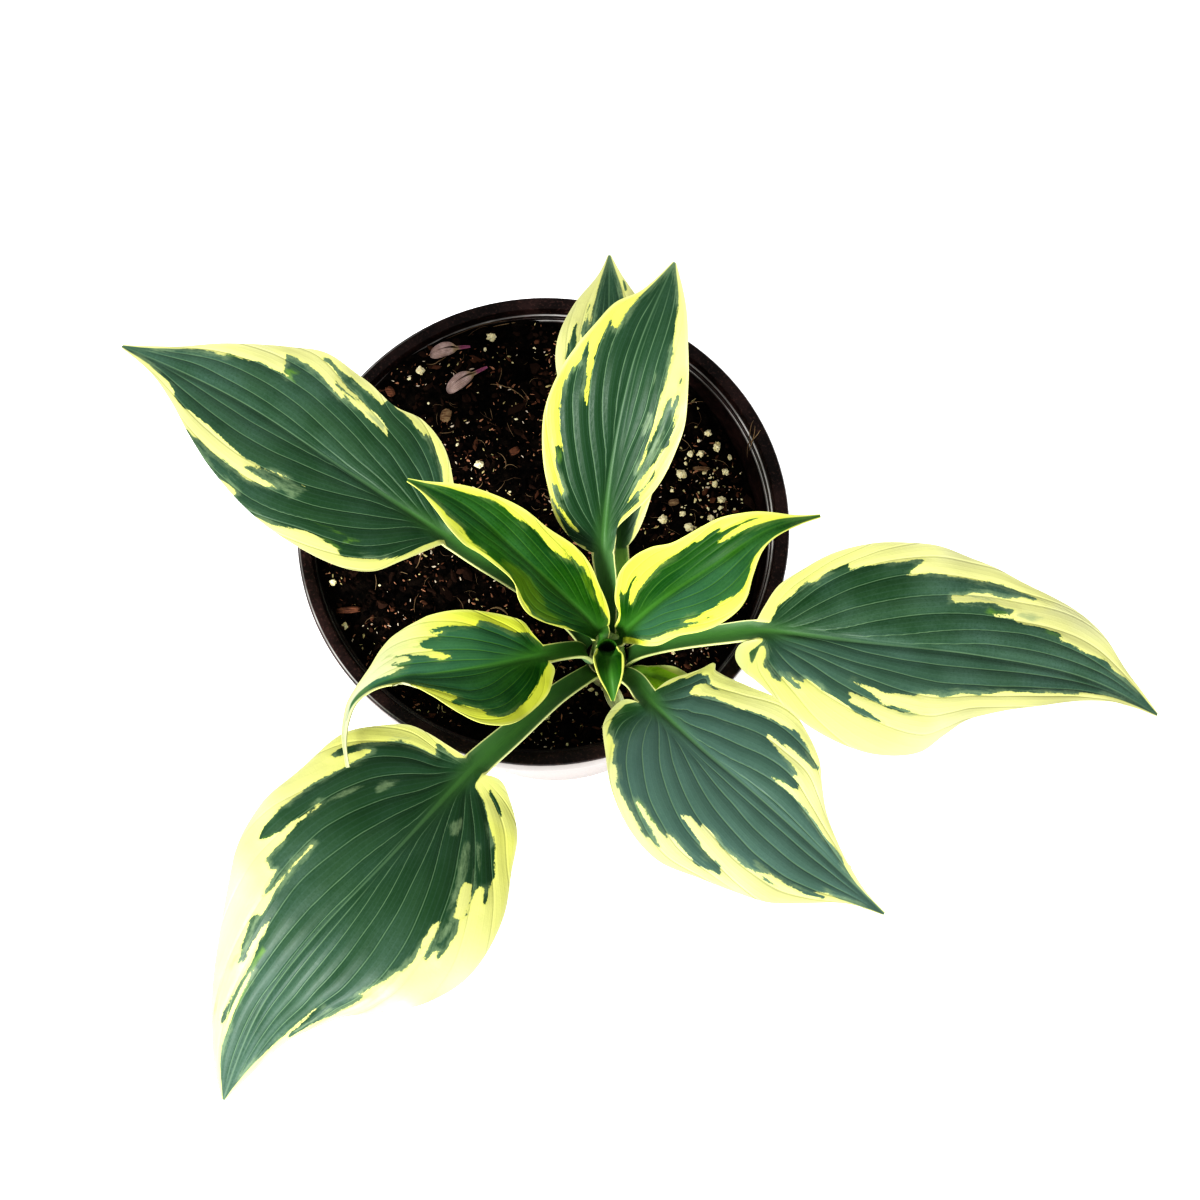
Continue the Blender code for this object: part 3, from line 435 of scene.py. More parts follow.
MARKINGS["front_right_leaf", "right"] = dict(
    green=[0, 90, 20, 90, 50, 88, 90, 89, 120, 92, 150, 97, 155, 99, 140, 92, 160, 88, 170, 87, 185, 90,
    215, 94, 225, 90, 250, 91, 270, 94, 300, 92, 360, 91, 390, 92, 435, 90, 430, 88, 330, 84, 320, 82,
    330, 80, 350, 78, 370, 80, 430, 80, 420, 76, 450, 77, 520, 87, 540, 88, 575, 88, 570, 84, 560, 80,
    530, 76, 490, 67, 410, 58, 415, 55, 430, 53, 450, 53, 465, 55, 460, 51, 480, 52, 530, 61, 560, 64,
    660, 73, 695, 74, 640, 70, 630, 68, 640, 66, 660, 64, 690, 65, 720, 68, 770, 77, 800, 81, 830, 87,
    830, 82, 825, 76, 800, 72, 790, 69, 810, 67, 830, 68, 870, 80, 900, 86, 930, 88, 960, 84, 1000, 60],
    pale=[[610, 55, 600, 60, 620, 67, 640, 69, 650, 65, 700, 66, 760, 74, 830, 87, 820, 76, 770, 66, 720, 60],
    [500, 78, 520, 83, 540, 83, 540, 80, 520, 77], [400, 70, 420, 74, 440, 74, 440, 71]],
    lime=[[320, 82, 325, 78, 350, 78, 430, 80, 430, 82, 370, 82, 360, 86, 330, 85]],
    veins=[[200, 8, 400, 8, 650, 12, 800, 16, 930, 25], [200, 10, 320, 12, 480, 20, 550, 27, 800, 41,
    920, 50], [160, 11, 250, 15, 330, 22, 480, 36, 600, 50, 750, 61, 870, 75], [120, 12, 170, 15, 270, 31,
    500, 55, 570, 66, 680, 76], [80, 12, 120, 17, 220, 37, 270, 45, 480, 67, 570, 82], [50, 15, 100, 28,
    140, 42, 200, 56, 330, 70, 400, 74, 500, 85], [30, 22, 120, 57, 170, 70, 220, 78, 420, 90]],
)
MARKINGS["back_tall_leaf", "left"] = dict(
    green=[0, 100, 30, 90, 40, 80, 55, 92, 80, 103, 240, 103, 210, 94, 150, 82, 120, 77, 105, 73, 100, 67,
    120, 67, 150, 72, 200, 85, 210, 89, 230, 92, 255, 92, 270, 91, 255, 88, 265, 84, 230, 78, 235, 74,
    250, 73, 265, 76, 300, 79, 330, 80, 380, 80, 380, 75, 370, 71, 360, 70, 380, 70, 460, 78, 500, 83,
    540, 86, 590, 89, 595, 86, 610, 85, 610, 82, 630, 80, 640, 84, 680, 91, 660, 82, 655, 77, 645, 74,
    570, 59, 540, 54, 530, 51, 525, 48, 580, 53, 620, 59, 650, 65, 710, 74, 740, 77, 750, 81, 758, 79,
    755, 75, 745, 72, 745, 60, 755, 58, 780, 59, 800, 61, 820, 65, 860, 78, 880, 82, 920, 84, 960, 80,
    1000, 50],
    pale=[[600, 70, 620, 79, 680, 90, 660, 80, 640, 74], [660, 48, 680, 53, 800, 59, 760, 53, 700, 48]],
    lime=[[330, 73, 330, 80, 385, 80, 380, 74, 360, 70], [590, 81, 590, 87, 615, 85, 605, 81], [110, 67,
    120, 72, 200, 84, 200, 80, 150, 71], [235, 74, 240, 78, 260, 80, 270, 77, 250, 73]],
    veins=[[380, 1, 500, 5, 650, 14, 900, 25], [250, 2, 400, 10, 620, 38, 700, 51, 880, 70], [140, 5, 350, 24,
    570, 50, 730, 76], [90, 12, 150, 24, 320, 45, 470, 60, 530, 70, 630, 83], [60, 15, 220, 52, 270, 61,
    400, 72, 500, 83], [40, 25, 100, 50, 200, 73, 360, 88]],
)
MARKINGS["back_tall_leaf", "right"] = dict(
    green=[0, 100, 80, 103, 100, 85, 120, 75, 140, 68, 155, 67, 205, 76, 220, 83, 235, 80, 245, 74, 260, 71,
    330, 82, 345, 79, 320, 76, 290, 71, 275, 67, 265, 62, 210, 54, 220, 52, 270, 55, 320, 60, 345, 64,
    370, 70, 375, 73, 400, 77, 430, 79, 425, 83, 440, 86, 455, 83, 530, 88, 535, 87, 510, 83, 520, 81,
    555, 84, 560, 87, 600, 86, 560, 78, 555, 76, 590, 77, 590, 72, 570, 68, 520, 62, 370, 52, 340, 48,
    460, 52, 640, 64, 720, 72, 750, 70, 780, 72, 830, 73, 860, 77, 890, 79, 930, 78, 970, 72, 1000, 50],
    islands=[[620, 87, 625, 89, 645, 90, 640, 87]],
    pale=[[160, 47, 270, 55, 340, 64, 370, 72, 420, 78, 500, 73, 550, 74, 500, 64, 450, 58, 250, 42, 170, 40],
    [460, 38, 470, 48, 500, 53, 540, 54, 550, 46, 550, 37, 510, 33], [610, 41, 620, 47, 680, 48, 660, 42],
    [560, 56, 730, 70, 700, 60, 620, 55]],
    faint=[[300, 58, 370, 68, 380, 74, 430, 77, 420, 70, 360, 61], [440, 71, 460, 77, 560, 79, 520, 74],
    [620, 78, 630, 83, 670, 83, 660, 78]],
    veins=[[300, 8, 450, 10, 700, 8, 900, 10], [250, 9, 550, 18, 700, 24, 850, 33], [200, 12, 400, 22,
    550, 37, 700, 44, 850, 60], [150, 15, 320, 35, 400, 42, 600, 54, 700, 62, 820, 78], [100, 20, 200, 36,
    370, 50, 550, 58, 650, 66, 750, 80], [70, 30, 150, 47, 450, 73, 550, 85], [50, 45, 120, 60, 200, 70,
    400, 88]],
)
MARKINGS["back_low_leaf", "left"] = dict(
    green=[0, 100, 40, 80, 100, 72, 200, 76, 300, 72, 400, 80, 540, 66, 600, 70, 605, 83, 660, 79, 720, 78,
    735, 74, 700, 68, 650, 66, 630, 60, 660, 56, 690, 57, 720, 61, 760, 60, 815, 64, 815, 60, 780, 54,
    730, 49, 760, 44, 800, 47, 850, 53, 920, 66, 960, 68, 1000, 50],
    pale=[[620, 72, 640, 80, 680, 79, 680, 72]],
)
MARKINGS["back_low_leaf", "right"] = dict(
    green=[0, 100, 40, 80, 100, 70, 180, 78, 300, 66, 360, 72, 440, 78, 480, 70, 540, 64, 600, 70, 660, 74,
    700, 62, 760, 58, 820, 56, 860, 60, 900, 66, 950, 66, 1000, 50],
    lime=[[860, 74, 870, 86, 900, 92, 890, 80]],
    islands=[[855, 70, 860, 84, 890, 94, 900, 88, 870, 74]],
)
MARKINGS["inner_left_leaf", "left"] = dict(
    green=[0, 100, 60, 103, 120, 100, 150, 92, 180, 87, 210, 92, 260, 97, 330, 96, 360, 90, 400, 91, 440, 95,
    500, 93, 550, 88, 600, 86, 640, 87, 700, 86, 710, 84, 620, 80, 630, 76, 680, 75, 720, 77, 750, 81,
    745, 76, 710, 71, 720, 69, 800, 74, 825, 80, 830, 75, 860, 76, 930, 84, 970, 80, 1000, 60],
    lime=[[200, 70, 220, 90, 300, 98, 420, 98, 500, 90, 560, 80, 580, 60, 520, 45, 450, 35, 360, 42,
    300, 60]],
    veins=[[400, 8, 600, 9, 700, 12, 920, 30], [200, 10, 700, 38, 850, 52], [100, 13, 250, 35, 400, 45,
    720, 57, 860, 70], [60, 20, 100, 30, 200, 50, 350, 60, 500, 65, 680, 66, 820, 78], [30, 25, 70, 45,
    150, 65, 300, 76, 500, 79, 680, 79, 800, 92]],
)
MARKINGS["inner_left_leaf", "right"] = dict(
    green=[0, 80, 30, 85, 80, 68, 110, 66, 140, 69, 200, 80, 250, 79, 300, 81, 300, 75, 400, 83, 405, 81,
    370, 74, 340, 70, 360, 66, 400, 62, 440, 61, 470, 65, 500, 72, 550, 73, 620, 68, 650, 71, 680, 77,
    720, 78, 760, 73, 790, 63, 830, 60, 860, 63, 940, 60, 1000, 50],
    lime=[[120, 60, 150, 72, 240, 78, 300, 74, 270, 60, 200, 52], [340, 68, 370, 75, 420, 76, 460, 72,
    450, 63, 400, 62]],
    pale=[[560, 66, 580, 71, 640, 68, 650, 64, 600, 62]],
    veins=[[300, 6, 400, 12, 500, 22, 700, 38, 850, 45], [200, 12, 520, 47, 620, 52, 850, 72], [120, 18,
    430, 60, 650, 85], [60, 20, 100, 30, 200, 49, 400, 80, 500, 92], [30, 30, 70, 50, 150, 70, 220, 85,
    300, 96]],
)
MARKINGS["inner_right_leaf", "left"] = dict(
    green=[0, 80, 50, 72, 90, 68, 120, 70, 140, 74, 160, 80, 180, 80, 175, 66, 200, 62, 240, 67, 270, 68,
    280, 65, 250, 60, 210, 55, 180, 45, 165, 38, 200, 38, 300, 47, 350, 53, 380, 59, 420, 65, 470, 70,
    555, 76, 560, 70, 590, 70, 620, 73, 660, 74, 665, 70, 650, 66, 680, 63, 720, 66, 760, 72, 800, 73,
    790, 69, 740, 63, 720, 57, 640, 46, 630, 42, 660, 36, 700, 37, 750, 40, 800, 41, 860, 50, 900, 58,
    930, 60, 960, 60, 1000, 50],
    lime=[[650, 64, 670, 68, 800, 73, 780, 66, 720, 58, 660, 58], [160, 38, 240, 58, 300, 58, 260, 48,
    200, 38]],
    veins=[[300, 2, 400, 3, 750, 15, 900, 25], [200, 3, 350, 10, 550, 25, 800, 38, 920, 50], [120, 5, 180, 10,
    270, 22, 350, 30, 450, 38, 650, 48, 800, 62], [80, 10, 200, 33, 300, 43, 670, 67, 800, 82], [50, 15,
    170, 45, 250, 57, 500, 76, 620, 88]],
)
MARKINGS["inner_right_leaf", "right"] = dict(
    green=[0, 45, 30, 42, 60, 50, 90, 63, 120, 73, 160, 79, 200, 75, 290, 82, 330, 81, 420, 85, 430, 82,
    400, 78, 370, 72, 360, 68, 380, 66, 420, 68, 460, 67, 600, 85, 650, 87, 675, 86, 690, 78, 720, 78,
    760, 84, 820, 88, 900, 86, 950, 80, 1000, 60],
    islands=[[440, 81, 450, 83, 475, 84, 470, 82]],
    lime=[[670, 74, 680, 84, 760, 86, 700, 72], [400, 72, 440, 78, 500, 80, 580, 87, 560, 82, 480, 74]],
    pale=[[100, 62, 130, 73, 170, 77, 220, 72, 180, 60]],
    veins=[[150, 9, 600, 9, 700, 13, 850, 25], [130, 12, 300, 16, 500, 30, 600, 34, 700, 42, 800, 55,
    920, 65], [100, 15, 600, 60, 750, 87], [70, 20, 120, 31, 200, 45, 300, 55, 500, 70, 600, 84], [50, 30,
    130, 55, 200, 68, 430, 87]],
)
MARKINGS["curled_leaf", "left"] = dict(
    green=[0, 90, 30, 70, 50, 63, 90, 65, 200, 80, 280, 87, 330, 86, 340, 81, 330, 77, 360, 75, 400, 78,
    430, 84, 445, 82, 430, 76, 410, 64, 420, 60, 450, 60, 500, 62, 600, 62, 700, 56, 770, 40, 820, 0],
    faint=[[780, 0, 820, 50, 960, 45, 960, 0]],
    pale=[[130, 72, 150, 80, 200, 88, 230, 87, 200, 80], [270, 60, 270, 65, 300, 68, 310, 63], [400, 72,
    420, 80, 460, 84, 470, 74, 440, 70]],
    veins=[[200, 6, 450, 15, 900, 25], [120, 10, 200, 17, 350, 41, 700, 50], [80, 14, 140, 29, 200, 40,
    330, 58, 450, 62, 650, 75], [50, 20, 100, 40, 170, 55, 250, 66, 330, 74, 420, 80, 550, 92], [30, 30,
    70, 50, 130, 68, 200, 79, 280, 88, 380, 95]],
)
MARKINGS["curled_leaf", "right"] = dict(
    green=[0, 90, 50, 82, 80, 81, 140, 64, 170, 67, 200, 74, 240, 79, 270, 79, 290, 72, 330, 72, 400, 74,
    460, 74, 450, 69, 420, 66, 440, 62, 470, 62, 510, 60, 510, 52, 470, 42, 400, 22, 440, 22, 480, 27,
    500, 34, 520, 36, 580, 54, 600, 55, 570, 48, 550, 40, 560, 33, 620, 40, 580, 20, 620, 14, 700, 20,
    750, 28, 790, 26, 820, 0],
    pale=[[480, 28, 500, 36, 600, 55, 520, 32]],
    faint=[[780, 0, 820, 50, 960, 45, 960, 0], [480, 50, 500, 56, 560, 62, 520, 52], [580, 57, 600, 68,
    640, 76, 640, 68]],
    veins=[[120, 2, 600, 27, 800, 35], [100, 4, 300, 28, 500, 42, 650, 60], [60, 7, 150, 25, 220, 36, 400, 57,
    600, 85], [40, 13, 130, 40, 200, 55, 350, 80, 450, 90], [30, 25, 60, 42, 100, 60, 150, 75, 220, 88]],
)
MARKINGS["unfurling_leaf", "left"] = dict(
    green=[0, 90, 200, 93, 450, 90, 700, 84, 1000, 70],
)
MARKINGS["unfurling_leaf", "right"] = dict(
    green=[0, 90, 200, 93, 450, 90, 700, 84, 1000, 70],
)
MARKINGS["low_leaf", "left"] = dict(
    green=[0, 86, 150, 86, 750, 76, 1000, 60],
)
MARKINGS["low_leaf", "right"] = dict(
    green=[0, 90, 150, 92, 300, 92, 500, 90, 750, 85, 1000, 70],
)

# The markings of any half without its own
PLAIN_GREEN = [0, 80, 100, 70, 200, 74, 300, 68, 450, 74, 600, 68, 750, 70, 900, 60, 1000, 50]
PLAIN_VEINS = [
    [300, 2, 500, 8, 700, 16, 950, 20],
    [180, 3, 350, 14, 550, 28, 750, 40, 950, 45],
    [100, 5, 250, 22, 450, 42, 650, 58, 900, 72],
    [60, 10, 150, 28, 300, 48, 500, 68, 750, 90],
    [30, 16, 100, 38, 200, 58, 330, 75, 500, 92],
]

PATCH_KINDS = ("pale", "faint", "lime")
COLUMN_STEP = 0.85         # spacing of the mesh across a blade, in millimetres
ROW_STEP = 0.9             # along a blade
STALK_STEP = 1.6           # along a stalk
STALK_DEPTH = 2.2          # thickness of a stalk
FOOT_HALF_WIDTH = 2.4      # of a stalk at its foot
CLASP = 0.7                # how much wider than that its very end is
CLASP_LENGTH = 7.0
CURVE_STEPS = 24           # between two given points of a curve
MIDRIB_POINTS = 300
OUTER_VEINS = 11           # past the last vein that is given
VEIN_GAP = 0.025           # the least between two veins, as a share of the half's width
RIB_RISE = 0.13            # of the leaf between two veins, for each millimetre between them
GROOVE_DEPTH = 0.55        # of the midrib's groove at the neck
EDGE_WAVE = 0.55           # rise and fall of the edge
EDGE_DROOP = 0.004         # for the square of the distance from the midrib
BLADE_EDGE = 0.42          # thickness of a blade at its edge
BLADE_SWELL = 0.35         # and how much thicker it is further in
BACK_RIB = 1.3             # depth of the midrib under the blade at its neck
SIDES = {"right": -1.0, "left": 1.0}
VEIN_SHIFT = 40.0          # keeps the vein numbers of one leaf apart from those of the next
STUDIO_LIGHT = 1.15        # brightness of a white surface that faces up
CONTRAST = 1.3             # of the view's High Contrast look
MIDDLE_GREY = 0.18         # the brightness that the contrast leaves as it is


def rgb(red, green, blue):
    """Surface colour that shows as these everyday 0-255 values in the studio's light and contrast."""
    shares = (red / 255, green / 255, blue / 255)
    linear = (((share + 0.055) / 1.055) ** 2.4 if share > 0.04 else share / 12.92 for share in shares)
    return tuple(MIDDLE_GREY * (share / MIDDLE_GREY) ** (1 / CONTRAST) / STUDIO_LIGHT for share in linear)


# Making pieces

def start_fresh():
    """Object mode, with nothing selected."""
    if bpy.context.object and bpy.context.object.mode != "OBJECT":
        bpy.ops.object.mode_set(mode="OBJECT")
    bpy.ops.object.select_all(action="DESELECT")


def take_up(piece):
    """Make a piece the one that is selected and worked on."""
    start_fresh()
    piece.select_set(True)
    bpy.context.view_layer.objects.active = piece


@contextmanager
def editing():
    """Edit mode on the piece that is worked on, for as long as the block under it lasts."""
    bpy.ops.object.mode_set(mode="EDIT")
    yield
    bpy.ops.object.mode_set(mode="OBJECT")


def face_outwards():
    """In edit mode, turn every face outwards."""
    bpy.ops.mesh.select_all(action="SELECT")
    bpy.ops.mesh.normals_make_consistent(inside=False)


def name_piece(name, *finishes):
    """Name the primitive just added and give it its finishes."""
    piece = bpy.context.object
    piece.name = piece.data.name = name
    for finish in finishes:
        piece.data.materials.append(finish.material)
    return piece


def apply_modifier(piece, kind, **settings):
    """Add a modifier with these settings, and apply it."""
    take_up(piece)
    modifier = piece.modifiers.new(kind, kind)
    for key, value in settings.items():
        setattr(modifier, key, value)
    bpy.ops.object.modifier_apply(modifier=modifier.name)


def hand_over(piece, slot, *nodes, smooth=0):
    """Shade a finished piece smooth up to an angle, settle it and tie it to the frame."""
    take_up(piece)
    if smooth:
        bpy.ops.object.shade_smooth_by_angle(angle=math.radians(smooth))
    bpy.ops.object.transform_apply(location=True, rotation=True, scale=True)
    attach(piece, "root")
    if nodes:
        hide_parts(*nodes)


def places_of(mesh):
    """Vertex places as rows of x, y, z."""
    places = np.zeros(len(mesh.vertices) * 3)
    mesh.vertices.foreach_get("co", places)
    return places.reshape(-1, 3)


def put_places(mesh, places):
    mesh.vertices.foreach_set("co", np.asarray(places, float).ravel())
    mesh.update()


def put_attribute(mesh, name, values):
    """Give each vertex a number that the finishes read."""
    mesh.attributes.new(name, "FLOAT", "POINT").data.foreach_set("value", values)


def put_map(mesh, flat):
    """Give each vertex its two distances on the piece's flat map."""
    corners = np.zeros(len(mesh.loops), int)
    mesh.loops.foreach_get("vertex_index", corners)
    mesh.uv_layers[0].name = "leaf_map"
    mesh.uv_layers[0].data.foreach_set("uv", flat[corners].ravel())


def grow_grid(name, columns, rows, *finishes):
    """A flat grid from -1 to 1 both ways, ready to be shaped."""
    start_fresh()
    bpy.ops.mesh.primitive_grid_add(x_subdivisions=columns, y_subdivisions=rows, size=2.0)
    return name_piece(name, *finishes)


def grow_rings(rings, sides):
    """A closed turned shape: a disc extruded ring by ring through (radius, height) pairs."""
    start_fresh()
    radius, height = rings[0]
    bpy.ops.mesh.primitive_circle_add(vertices=sides, radius=radius * MM, fill_type="NGON",
                                      location=(0, 0, height * MM))
    bpy.ops.object.transform_apply(location=True)
    with editing():
        bpy.ops.mesh.select_all(action="SELECT")
        for next_radius, next_height in rings[1:]:
            rise = (next_height - height) * MM
            bpy.ops.mesh.extrude_region_move(TRANSFORM_OT_translate={"value": (0, 0, rise)})
            scale = next_radius / radius
            bpy.ops.transform.resize(value=(scale, scale, 1), center_override=(0, 0, next_height * MM))
            radius, height = next_radius, next_height
        face_outwards()


def smooth_curve(points, count):
    """Points at equal steps along a smooth curve through the given points."""
    points = np.asarray(points, float)
    spans = np.linalg.norm(np.diff(points, axis=0), axis=1)[:, None] ** 0.5
    slopes = np.diff(points, axis=0) / spans
    tangents = np.zeros_like(points)
    tangents[1:-1] = (slopes[:-1] * spans[1:] + slopes[1:] * spans[:-1]) / (spans[1:] + spans[:-1])
    tangents[0] = 1.5 * slopes[0] - 0.5 * tangents[1]
    tangents[-1] = 1.5 * slopes[-1] - 0.5 * tangents[-2]
    t = np.linspace(0.0, 1.0, CURVE_STEPS, endpoint=False)[:, None]
    start_weight = 2 * t ** 3 - 3 * t ** 2 + 1
    pieces = []
    for i, span in enumerate(spans):
        pieces.append(
            start_weight * points[i]
            + (1 - start_weight) * points[i + 1]
            + (t ** 3 - 2 * t ** 2 + t) * span * tangents[i]
            + (t ** 3 - t ** 2) * span * tangents[i + 1]
        )
    fine = np.vstack(pieces + [points[-1:]])
    run = distance_along(fine)
    steps = np.linspace(0.0, run[-1], count)
    return np.stack([np.interp(steps, run, axis) for axis in fine.T], axis=1)


def distance_along(points):
    """Distance from the first point to each point."""
    return np.concatenate([[0.0], np.cumsum(np.linalg.norm(np.diff(points, axis=0), axis=1))])


def smooth_step(values):
    """0 below 0 and 1 above 1, smooth between."""
    values = np.clip(values, 0.0, 1.0)
    return values * values * (3.0 - 2.0 * values)


def depth_inside(places, outline):
    """How far each flat place lies inside a closed outline; outside it is negative."""
    start = np.asarray(outline, float)
    end = np.roll(start, -1, axis=0)
    span = end - start
    x, y = places[:, :1], places[:, 1:]
    away = places[:, None, :] - start
    length = np.maximum((span ** 2).sum(axis=1), 1e-9)
    share = np.clip((away * span).sum(axis=2) / length, 0.0, 1.0)
    nearest = np.linalg.norm(away - share[..., None] * span, axis=2).min(axis=1)
    crosses = (start[:, 1] <= y) != (end[:, 1] <= y)
    rise = np.where(np.abs(span[:, 1]) < 1e-9, 1e-9, span[:, 1])
    left_of = x < start[:, 0] + (y - start[:, 1]) * span[:, 0] / rise
    inside = (crosses & left_of).sum(axis=1) % 2 == 1
    return np.where(inside, nearest, -nearest)


def mark_pairs(marks):
    """Shares along the edge and shares across of a list of markings."""
    return np.array(marks, float).reshape(-1, 2).T / [[1000.0], [100.0]]


def channel_rise(off):
    """How far the sides of a stalk's channel rise, off its middle."""
    return 0.11 * off ** 2 / (1.0 + 0.02 * off ** 2)


class LeafHalf:
    """One half of a blade laid out flat, from the midrib (column 0) to its edge."""

    def __init__(self, shape, side_name, rows, columns):
        self.shape = shape
        self.share = np.linspace(0.0, 1.0, rows + 1)
        self.across = np.linspace(0.0, 1.0, columns + 1)
        self.rim = shape.edge(side_name, rows + 1)
        self.to_rim = (1.0 - self.across) * self.rim[:, 1:]
        self.along, self.off = self.flat(*np.meshgrid(self.share, self.across, indexing="ij"))
        marks = MARKINGS.get((shape.name, side_name), {})
        self.marks = {"green": PLAIN_GREEN, "veins": PLAIN_VEINS, **marks}

    def flat(self, share, across):
        """Distances along and off the midrib, in millimetres."""
        middle = self.shape.length * share ** 1.15
        rim_along = np.interp(share, self.share, self.rim[:, 0])
        rim_off = np.interp(share, self.share, self.rim[:, 1])
        off = across * rim_off
        neck = self.shape.leaf["neck"]
        past_neck = np.clip((off - neck) / np.maximum(rim_off - neck, 0.1), 0.0, 1.0) ** 1.3
        pull = np.where(rim_along < middle, past_neck, across ** 1.5)
        return middle + (rim_along - middle) * pull, off

    def depth(self, outline):
        """How far every grid point lies inside an outline on the flat half."""
        places = np.stack([self.along.ravel(), self.off.ravel()], axis=1)
        return depth_inside(places, outline).reshape(self.along.shape)

    def patch_depth(self, marks):
        """Depth of every grid point inside a patch given by its marks."""
        return self.depth(np.stack(self.flat(*mark_pairs(marks)), axis=1))

    def cream_depth(self):
        """Distance out from the green into the cream margin; negative inside the green."""
        along, off = self.flat(*mark_pairs(self.marks["green"]))
        foot, past_tip, past_midrib = -20.0, along[-1] + 3.0, -8.0
        outline = [(foot, past_midrib), (foot, off[0]), (-0.5, off[0]), *zip(along, off),
                   (past_tip, off[-1]), (past_tip, past_midrib)]
        depth = self.depth(outline)
        for island in self.marks.get("islands", ()):
            depth = np.maximum(depth, self.patch_depth(island))
        neck_line = 0.45 - self.to_rim - 9.0 * smooth_step(self.share / 0.12)[:, None]
        return np.maximum(-depth, neck_line)

    def patches(self, kind):
        """Strength from 0 to 1 of all the patches of one kind."""
        depth = np.full(self.along.shape, -9.0)
        for marks in self.marks.get(kind, ()):
            depth = np.maximum(depth, self.patch_depth(marks))
        return smooth_step(0.5 + depth / 3.0)

    def veins(self):
        """How many veins lie between the midrib and each point, and their spacing in mm."""
        rows = len(self.share)
        lines = []
        for vein in self.marks["veins"]:
            share, across = mark_pairs(vein)
            line = np.interp(self.share, share, across)
            line = np.where(self.share < share[0], across[0] * (self.share / share[0]) ** 2, line)
            slope = (across[-1] - across[-2]) / (share[-1] - share[-2])
            past = across[-1] + max(slope, 0.0) * (self.share - share[-1])
            line = np.where(self.share > share[-1], past, line)
            reach = max(rows // 40, 1)
            padded = np.pad(line, reach, mode="edge")
            line = np.convolve(padded, np.ones(2 * reach + 1) / (2 * reach + 1), mode="valid")
            lines.append(np.maximum(line, lines[-1] + VEIN_GAP) if lines else np.maximum(line, 0.02))
        lines = np.stack([np.zeros(rows), *lines], axis=1)
        last_gap = np.maximum(lines[:, -1] - lines[:, -2], 0.1)[:, None]
        lines = np.hstack([lines, lines[:, -1:] + last_gap * np.arange(1, OUTER_VEINS + 1)])
        numbers = np.arange(lines.shape[1], dtype=float)
        count = np.stack([np.interp(self.across, line, numbers) for line in lines])
        gaps = np.diff(lines, axis=1) * self.rim[:, 1:]
        spacing = np.stack([np.interp(row, numbers[:-1] + 0.5, gap) for row, gap in zip(count, gaps)])
        return count, np.clip(spacing, 0.05, 8.0)


class LeafShape:
    """The upper surface of one leaf, in millimetres."""

    def __init__(self, name):
        self.name = name
        self.leaf = LEAVES[name]
        self.midrib = smooth_curve(self.leaf["midrib"], MIDRIB_POINTS)
        junction = np.asarray(self.leaf["midrib"][self.leaf["stalk_points"]], float)
        nearest = np.argmin(np.linalg.norm(self.midrib - junction, axis=1))
        run = distance_along(self.midrib)
        self.run = run - run[nearest]
        self.length = self.run[-1]
        self.stalk_length = -self.run[0]
        forward = np.gradient(self.midrib, axis=0)
        self.forward = forward / np.linalg.norm(forward, axis=1)[:, None]
        side = np.cross((0.0, 0.0, 1.0), self.forward)
        self.side = side / np.linalg.norm(side, axis=1)[:, None]
        self.up = np.cross(self.forward, self.side)

    def frames(self, along):
        """Midrib points and their forward, side and up directions."""
        return [
            np.stack([np.interp(along, self.run, axis) for axis in values.T], axis=-1)
            for values in (self.midrib, self.forward, self.side, self.up)
        ]

    def edge(self, side_name, count):
        """The edge of one half of the blade, from neck to tip."""
        neck = (0.0, self.leaf["neck"])
        return smooth_curve([neck, *self.leaf[side_name], (self.length, 0.5)], count)

    def stalk(self, rows, across):
        """Points of the channelled stalk, with distances along and off its middle."""
        along = np.linspace(-self.stalk_length, 0.0, rows + 1)[:-1, None]
        share = 1.0 + along / self.stalk_length
        from_foot = along + self.stalk_length
        flare = self.leaf.get("clasp", CLASP) * np.exp(-from_foot / CLASP_LENGTH)
        half_width = FOOT_HALF_WIDTH + (self.leaf["neck"] - FOOT_HALF_WIDTH) * share + flare
        off = across[None, :] * half_width
        along = along + 0.0 * off
        point, _, side, up = self.frames(along)
        return along, off, point + off[..., None] * side + channel_rise(off)[..., None] * up

    def blade_half(self, half, sign, side_name):
        """Points of one half of the blade, over its flat layout."""
        inside = np.clip(half.along, 0.0, self.length)
        folds = self.leaf.get("fold_" + side_name, self.leaf.get("fold"))
        fold = np.radians(np.interp(inside, np.linspace(0.0, self.length, len(folds)), folds))
        turn = fold * (1.0 - np.exp(-half.off / self.leaf.get("fold_radius", 1.0)))
        step = np.diff(half.off, axis=1, prepend=0.0)
        average = (turn + np.roll(turn, 1, axis=1)) / 2
        reach = np.cumsum(np.cos(average) * step, axis=1)
        rise = np.cumsum(np.sin(average) * step, axis=1) - EDGE_DROOP * half.off ** 2
        opening = 1.0 - smooth_step(half.share / 0.09)[:, None]
        rise = rise + opening * channel_rise(np.minimum(half.off, self.leaf["neck"]))
        point, forward, side, up = self.frames(inside)
        return (point + (half.along - inside)[..., None] * forward
                + sign * reach[..., None] * side + rise[..., None] * up)


def surface_normals(points):
    """Upward normal at each point of a grid of rows from foot to tip."""
    normals = np.cross(np.gradient(points, axis=1), -np.gradient(points, axis=0))
    return normals / np.maximum(np.linalg.norm(normals, axis=2), 1e-9)[..., None]


def both_halves(right, left):
    """Join two halves, each from the midrib outwards, into rows from right edge to left."""
    return np.concatenate([right[:, :0:-1], left], axis=1)


